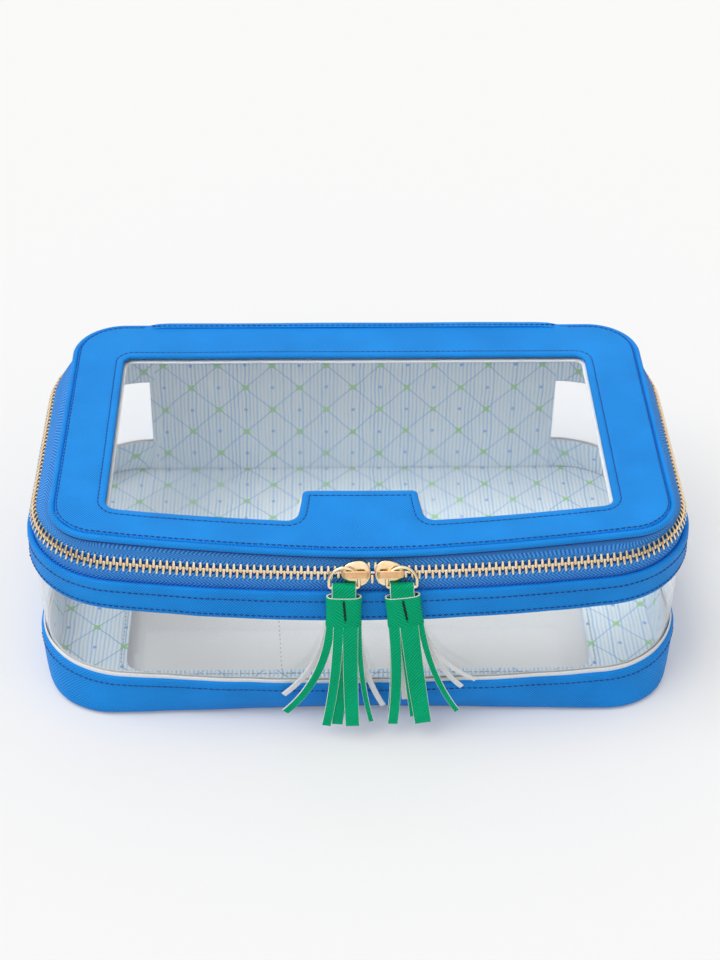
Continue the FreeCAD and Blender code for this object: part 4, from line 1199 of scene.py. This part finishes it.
def buildLidFrame():
    groove, edge = lidSpec["stitchIn"], lidSpec["stitchOut"]
    inner = [(0.9, lidUnder + 0.1), (0.2, lidUnder + 0.4), (0, lidUnder + 1.0), (0.15, lidTop - 0.3),
             (0.7, lidTop + 0.08), (1.6, lidTop + 0.2), (groove - 0.5, lidTop + 0.08),
             (groove, lidTop - 0.22), (groove + 0.5, lidTop - 0.02)]
    outer = [(edge + 0.75, lidTop + 0.02), (edge + 0.3, lidTop - 0.16), (edge, lidTop - 0.42),
             (edge - 0.25, lidTop - 0.8), (edge - 0.3, lidTop - 1.1), (edge - 0.2, lidTop - 1.5),
             (edge, lidUnder)]
    loops = [lidNear(*place) for place in inner]
    loops += frameLoops(lidNear(groove + 1.3, lidTop + 0.06), lidFar(edge + 1.3, lidTop + 0.06), 6)
    loops += [lidFar(*place) for place in outer]
    loops += frameLoops(lidFar(edge + 0.8, lidUnder), lidNear(2.0, lidUnder), 3)
    panel = makePiece("lidFrame", [loftPart(loops, plan=True)], [blue], 60)
    settle(panel, "lid", "blue_leatherette", "lid_panel")
    parts = stitchParts(lidNear(groove, lidTop - 0.1), True)
    parts += stitchParts(lidLoop(planRun(lidShape, edge + 0.45, panelHalf + 2), lidTop + 0.02))
    settle(makePiece("lidStitches", parts, [navy]), "lid", "blue_leatherette")


def cordPart(inset, level, radius):
    end = panelHalf - lidSpec["rollUnder"]
    loops = []
    for a in (math.pi * 2 * i / 14 for i in range(14)):
        run = planRun(lidShape, inset - radius * math.cos(a), end)
        loops.append(lidLoop(run, level + radius * math.sin(a)))
    return loftPart(loops, False)


def buildLid():
    buildLidFrame()
    roll = makePiece("lidRoll", [cordPart(0, rollLevel, rollRadius)], [blue])
    settle(roll, "lid", "blue_leatherette", "lid_piping")
    # A thin navy cord under the roll: painted shadow, a dark line where the roll overhangs the tape.
    seam = makePiece("rollShadowCord", [cordPart(-0.45, rollLow.z - 0.05, lidSpec["seam"])], [navy])
    settle(seam, "lid", "blue_leatherette")
    inset = lidSpec["sheetInset"]
    low, high = cadHeights("lid_window")
    outline = planRing(lidShape, inset)
    part = sheetPart(flatRing(outline, low), low + 0.1, high - 0.1, 0.5, lidDrop)
    clear = makePiece("lidSheet", [part], [vinyl])
    settle(clear, "lid", "clear_vinyl", "lid_window")
    low, high = cadHeights("lid_lining")
    rim, inset = -lidSpec["rim"], lidSpec["facingInset"]
    loops = frameLoops(lidFar(inset, high), lidNear(rim, high), 4)
    loops += frameLoops(lidNear(rim, low), lidFar(inset, low), 4)
    facing = makePiece("lidFacing", [loftPart(loops, plan=True)], [backing])
    settle(facing, "lid", "pale_lining", "lid_lining")
    area = flatArea(planRing(lidShape, inset)) - flatArea(windowRing(lidWindow, rim))


# Hinge: one cover that runs from the foot up to the lid, an inner strip and the back lining.
hingeSpec = {"proud": 0.3, "thick": 1.7, "fold": 2.4, "foldThick": 0.5, "flat": 2.6, "foldRise": 0.6,
             "fallFrom": 83, "fall": (0, -0.9, -0.7), "fallLevel": 74, "fallEase": 5, "footTurn": 1.2,
             "footEase": 3, "bendLow": 67.5, "bendHigh": 73.5, "stitchIn": 3.4, "coverOver": 0.3,
             "coverPuff": 0.15, "stripOver": 5, "stripThick": 0.6, "liningOver": 0.4, "liningThick": 0.45,
             "liningPuff": 0.3}


def sheetAlong(half, path, thick, columns=40, bulge=0.0, fall=None):
    # A sheet across the back, whose outer face follows path, a list of (y, z) with a thickness at each point.
    edge = min(max(thick) / 2, 0.8)
    rim = [edge * (1 - math.cos(quarter * i / 4)) for i in range(4)]
    xs = [-half + inset for inset in rim]
    xs += [mix(-half + edge, half - edge, i / columns) for i in range(columns + 1)]
    xs += [half - inset for inset in reversed(rim)]
    front, rear = [], []
    for k, (y, z) in enumerate(path):
        a, b = path[max(k - 1, 0)], path[min(k + 1, len(path) - 1)]
        normal = Vector((0, b[1] - a[1], a[0] - b[0])).normalized()
        outer, inner = [], []
        for x in xs:
            side = max(abs(x) - half + edge, 0) / edge
            pull = min(edge, thick[k] / 2) * (1 - math.sqrt(max(1 - side * side, 0)))
            puff = bulge * noise.noise(Vector((x * 0.03, z * 0.05, 1.3)))
            place = Vector((x, y, z)) + normal * (puff - pull)
            if fall:
                place += fall(x, z)
            outer.append(place)
            inner.append(place - normal * max(thick[k] - 2 * pull, 0.05))
        front.append(outer)
        rear.append(inner)
    verts, faces, uvs, marks = loftPart(front + list(reversed(rear)), False)
    uvs = [[(verts[index].x, verts[index].z - verts[index].y) for index in face] for face in faces]
    return verts, faces, uvs, marks


def bendWithLid(piece, *nodes):
    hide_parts(*nodes)
    start, end = ((0, backY * mm, hingeSpec[key] * mm) for key in ("bendLow", "bendHigh"))
    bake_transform(piece)
    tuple(start)
    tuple(end)


def buildHinge():
    h = hingeSpec
    low = cadHeights("back_panel")[0] + 0.3
    rest, fold, crest = backY + h["proud"], h["fold"], lidTop + h["foldRise"]
    path = []
    for level in (mix(low, crest - fold, i / 40) for i in range(41)):
        path.append((rest - h["footTurn"] * (1 - smooth(level / h["footEase"])), level))
    for a in (quarter * i / 8 for i in range(1, 9)):
        path.append((rest - fold + fold * math.cos(a), crest - fold + fold * math.sin(a)))
    path += [(rest - fold - h["flat"] * i / 3, crest) for i in range(1, 4)]
    thick = [mix(h["thick"], h["foldThick"], smooth((level - crest + fold + 1) / 2)) for y, level in path]

    def fall(x, level):
        aside = smooth((abs(x) - h["fallFrom"]) / (panelHalf - h["fallFrom"]))
        return Vector(h["fall"]) * (aside * smooth((level - h["fallLevel"]) / h["fallEase"]))

    half = panelHalf + h["coverOver"]
    part = sheetAlong(half, path, thick, bulge=h["coverPuff"], fall=fall)
    cover = makePiece("hingeCover", [part], [blue])
    bendWithLid(cover, "back_panel", "lid_flap")
    length = sum(math.dist(a, b) for a, b in zip(path, path[1:]))
    low, high = cadSpan("hinge_strip")
    half = high.x + h["stripOver"]
    run = [(high.y - 0.1, mix(low.z, high.z, i / 20)) for i in range(21)]
    strip = makePiece("hingeStrip", [sheetAlong(half, run, [h["stripThick"]] * len(run))], [lining])
    bendWithLid(strip, "hinge_strip")
    low, high = cadSpan("back_lining")
    half = panelHalf + h["liningOver"]
    run = [(high.y, mix(low.z + 0.1, high.z, i / 24)) for i in range(25)]
    part = sheetAlong(half, run, [h["liningThick"]] * len(run), bulge=h["liningPuff"])
    cloth = makePiece("backLining", [part], [lining])
    settle(cloth, "base", "pale_lining", "back_lining")
    parts = []
    for x in (h["stitchIn"] - panelHalf, panelHalf - h["stitchIn"]):
        row = [Vector((x, rest + 0.1, level)) for level in range(4, 66, 2)]
        parts += stitchParts(row, up=Vector((0, 1, 0)))
    settle(makePiece("panelStitches", parts, [navy]), "base", "blue_leatherette")
    y = rest - fold - h["flat"] * 0.55
    row = [Vector((x, y, crest + 0.08)) for x in (2 - panelHalf, panelHalf - 2)]
    settle(makePiece("foldStitches", stitchParts(row), [navy]), "lid", "blue_leatherette")


print("building the case")
buildFootBand()
buildFloor()
buildWall()
buildBandLinings()
buildUpperBand()
print("building the zip")
buildBaseTape()
buildLidTape()
buildTeeth()
buildSliders()
print("building the pulls")
buildRings()
buildTassels()
print("building the lid and hinge")
buildLid()
buildHinge()


# Floor, light and camera.
stageSpec = {"floorSize": 9.0, "floorLevel": -0.0004, "floorColour": (0.81, 0.805, 0.80), "floorLift": 0.145,
             "dome": 0.68, "sun": 1.18, "sunAngle": 50, "sunFrom": (-0.6, -0.1, 1.0), "backdrop": 0.96,
             # brightness by height and sideways: from, to, start, end
             "glow": (-0.1, 0.75, 0.45, 1.12), "shown": (0.0, 0.6, 0.75, 1.1), "aside": (0.2, 0.8, 1.0, 0.55)}
viewSpec = {"focal": 1962.1, "tall": 960, "x": -18.8, "y": -644.1, "z": 546.4,
            "yaw": -1.78, "elevation": 37.32, "roll": 0.73}


def buildFloorStage():
    mesh = bpy.data.meshes.new("studioFloor")
    half, level = stageSpec["floorSize"] / 2, stageSpec["floorLevel"]
    corners = [(x * half, y * half, level) for x, y in ((-1, -1), (1, -1), (1, 1), (-1, 1))]
    mesh.from_pydata(corners, [], [(0, 1, 2, 3)])
    floor = bpy.data.objects.new("studioFloor", mesh)
    scene.collection.objects.link(floor)
    material, nodes, links, shader = newMaterial("paleFloor")
    tree = material.node_tree
    where = nodes.new("ShaderNodeTexCoord").outputs["Object"]
    tone = stageSpec["floorColour"]
    shade = addMix(tree, addNoise(tree, where, 3), tone, tuple(c * 0.995 for c in tone))
    links.new(shade, shader.inputs["Base Color"])
    shader.inputs["Roughness"].default_value = 0.9
    shader.inputs["Specular IOR Level"].default_value = 0.1
    path = nodes.new("ShaderNodeLightPath")   # a little white that only the eye sees, so shadows stay
    seen = addMath(tree, "MAXIMUM", path.outputs["Is Camera Ray"], path.outputs["Is Transmission Ray"])
    seen = addMath(tree, "MAXIMUM", seen, path.outputs["Is Glossy Ray"])
    lift = nodes.new("ShaderNodeEmission")
    lift.inputs["Color"].default_value = (1, 1, 1, 1)
    links.new(addMath(tree, "MULTIPLY", seen, stageSpec["floorLift"]), lift.inputs["Strength"])
    both = nodes.new("ShaderNodeAddShader")
    links.new(shader.outputs["BSDF"], both.inputs[0])
    links.new(lift.outputs["Emission"], both.inputs[1])
    links.new(both.outputs["Shader"], nodes["Material Output"].inputs["Surface"])
    mesh.materials.append(material)


def buildLight():
    world = bpy.data.worlds.new("studio")
    world.use_nodes = True
    scene.world = world
    tree = world.node_tree
    sky = tree.nodes["Background"]
    sky.inputs["Color"].default_value = (1, 1, 1, 1)
    where = tree.nodes.new("ShaderNodeTexCoord").outputs["Generated"]
    split = tree.nodes.new("ShaderNodeSeparateXYZ")
    tree.links.new(where, split.inputs[0])
    glow = addRange(tree, split.outputs["Z"], *stageSpec["glow"])
    light = addMath(tree, "MULTIPLY", glow, stageSpec["dome"])
    shown = addRange(tree, split.outputs["Z"], *stageSpec["shown"])
    aside = addRange(tree, addMath(tree, "ABSOLUTE", split.outputs["X"]), *stageSpec["aside"])
    shown = addMath(tree, "MULTIPLY", shown, aside)
    path = tree.nodes.new("ShaderNodeLightPath")
    for ray, level in (("Is Glossy Ray", shown), ("Is Camera Ray", stageSpec["backdrop"])):
        rest = addMath(tree, "MULTIPLY", light, addMath(tree, "SUBTRACT", 1.0, path.outputs[ray]))
        light = addMath(tree, "MULTIPLY_ADD", path.outputs[ray], level, rest)
    tree.links.new(light, sky.inputs["Strength"])
    sun = bpy.data.objects.new("softSun", bpy.data.lights.new("softSun", "SUN"))
    sun.data.energy = stageSpec["sun"]
    sun.data.angle = math.radians(stageSpec["sunAngle"])
    sun.rotation_euler = Vector(stageSpec["sunFrom"]).to_track_quat("Z", "Y").to_euler()
    scene.collection.objects.link(sun)


def buildCamera():
    v = viewSpec
    yaw, tip, roll = (math.radians(v[key]) for key in ("yaw", "elevation", "roll"))
    ahead = Vector((-math.sin(yaw) * math.cos(tip), math.cos(yaw) * math.cos(tip), -math.sin(tip)))
    level = Vector((math.cos(yaw), math.sin(yaw), 0))
    above = level.cross(ahead)
    right = level * math.cos(roll) + above * math.sin(roll)
    up = above * math.cos(roll) - level * math.sin(roll)
    camera = bpy.data.objects.new("camera", bpy.data.cameras.new("camera"))
    camera.data.sensor_width = 36
    camera.data.lens = v["focal"] / v["tall"] * camera.data.sensor_width
    camera.data.clip_start = 0.02
    turn = Matrix((right, up, -ahead)).transposed().to_4x4()
    camera.matrix_world = Matrix.Translation(Vector((v["x"], v["y"] + midY, v["z"])) * mm) @ turn
    scene.collection.objects.link(camera)
    scene.camera = camera


buildFloorStage()
buildLight()
buildCamera()
scene.view_settings.view_transform = "Standard"
print("stage and camera ready")
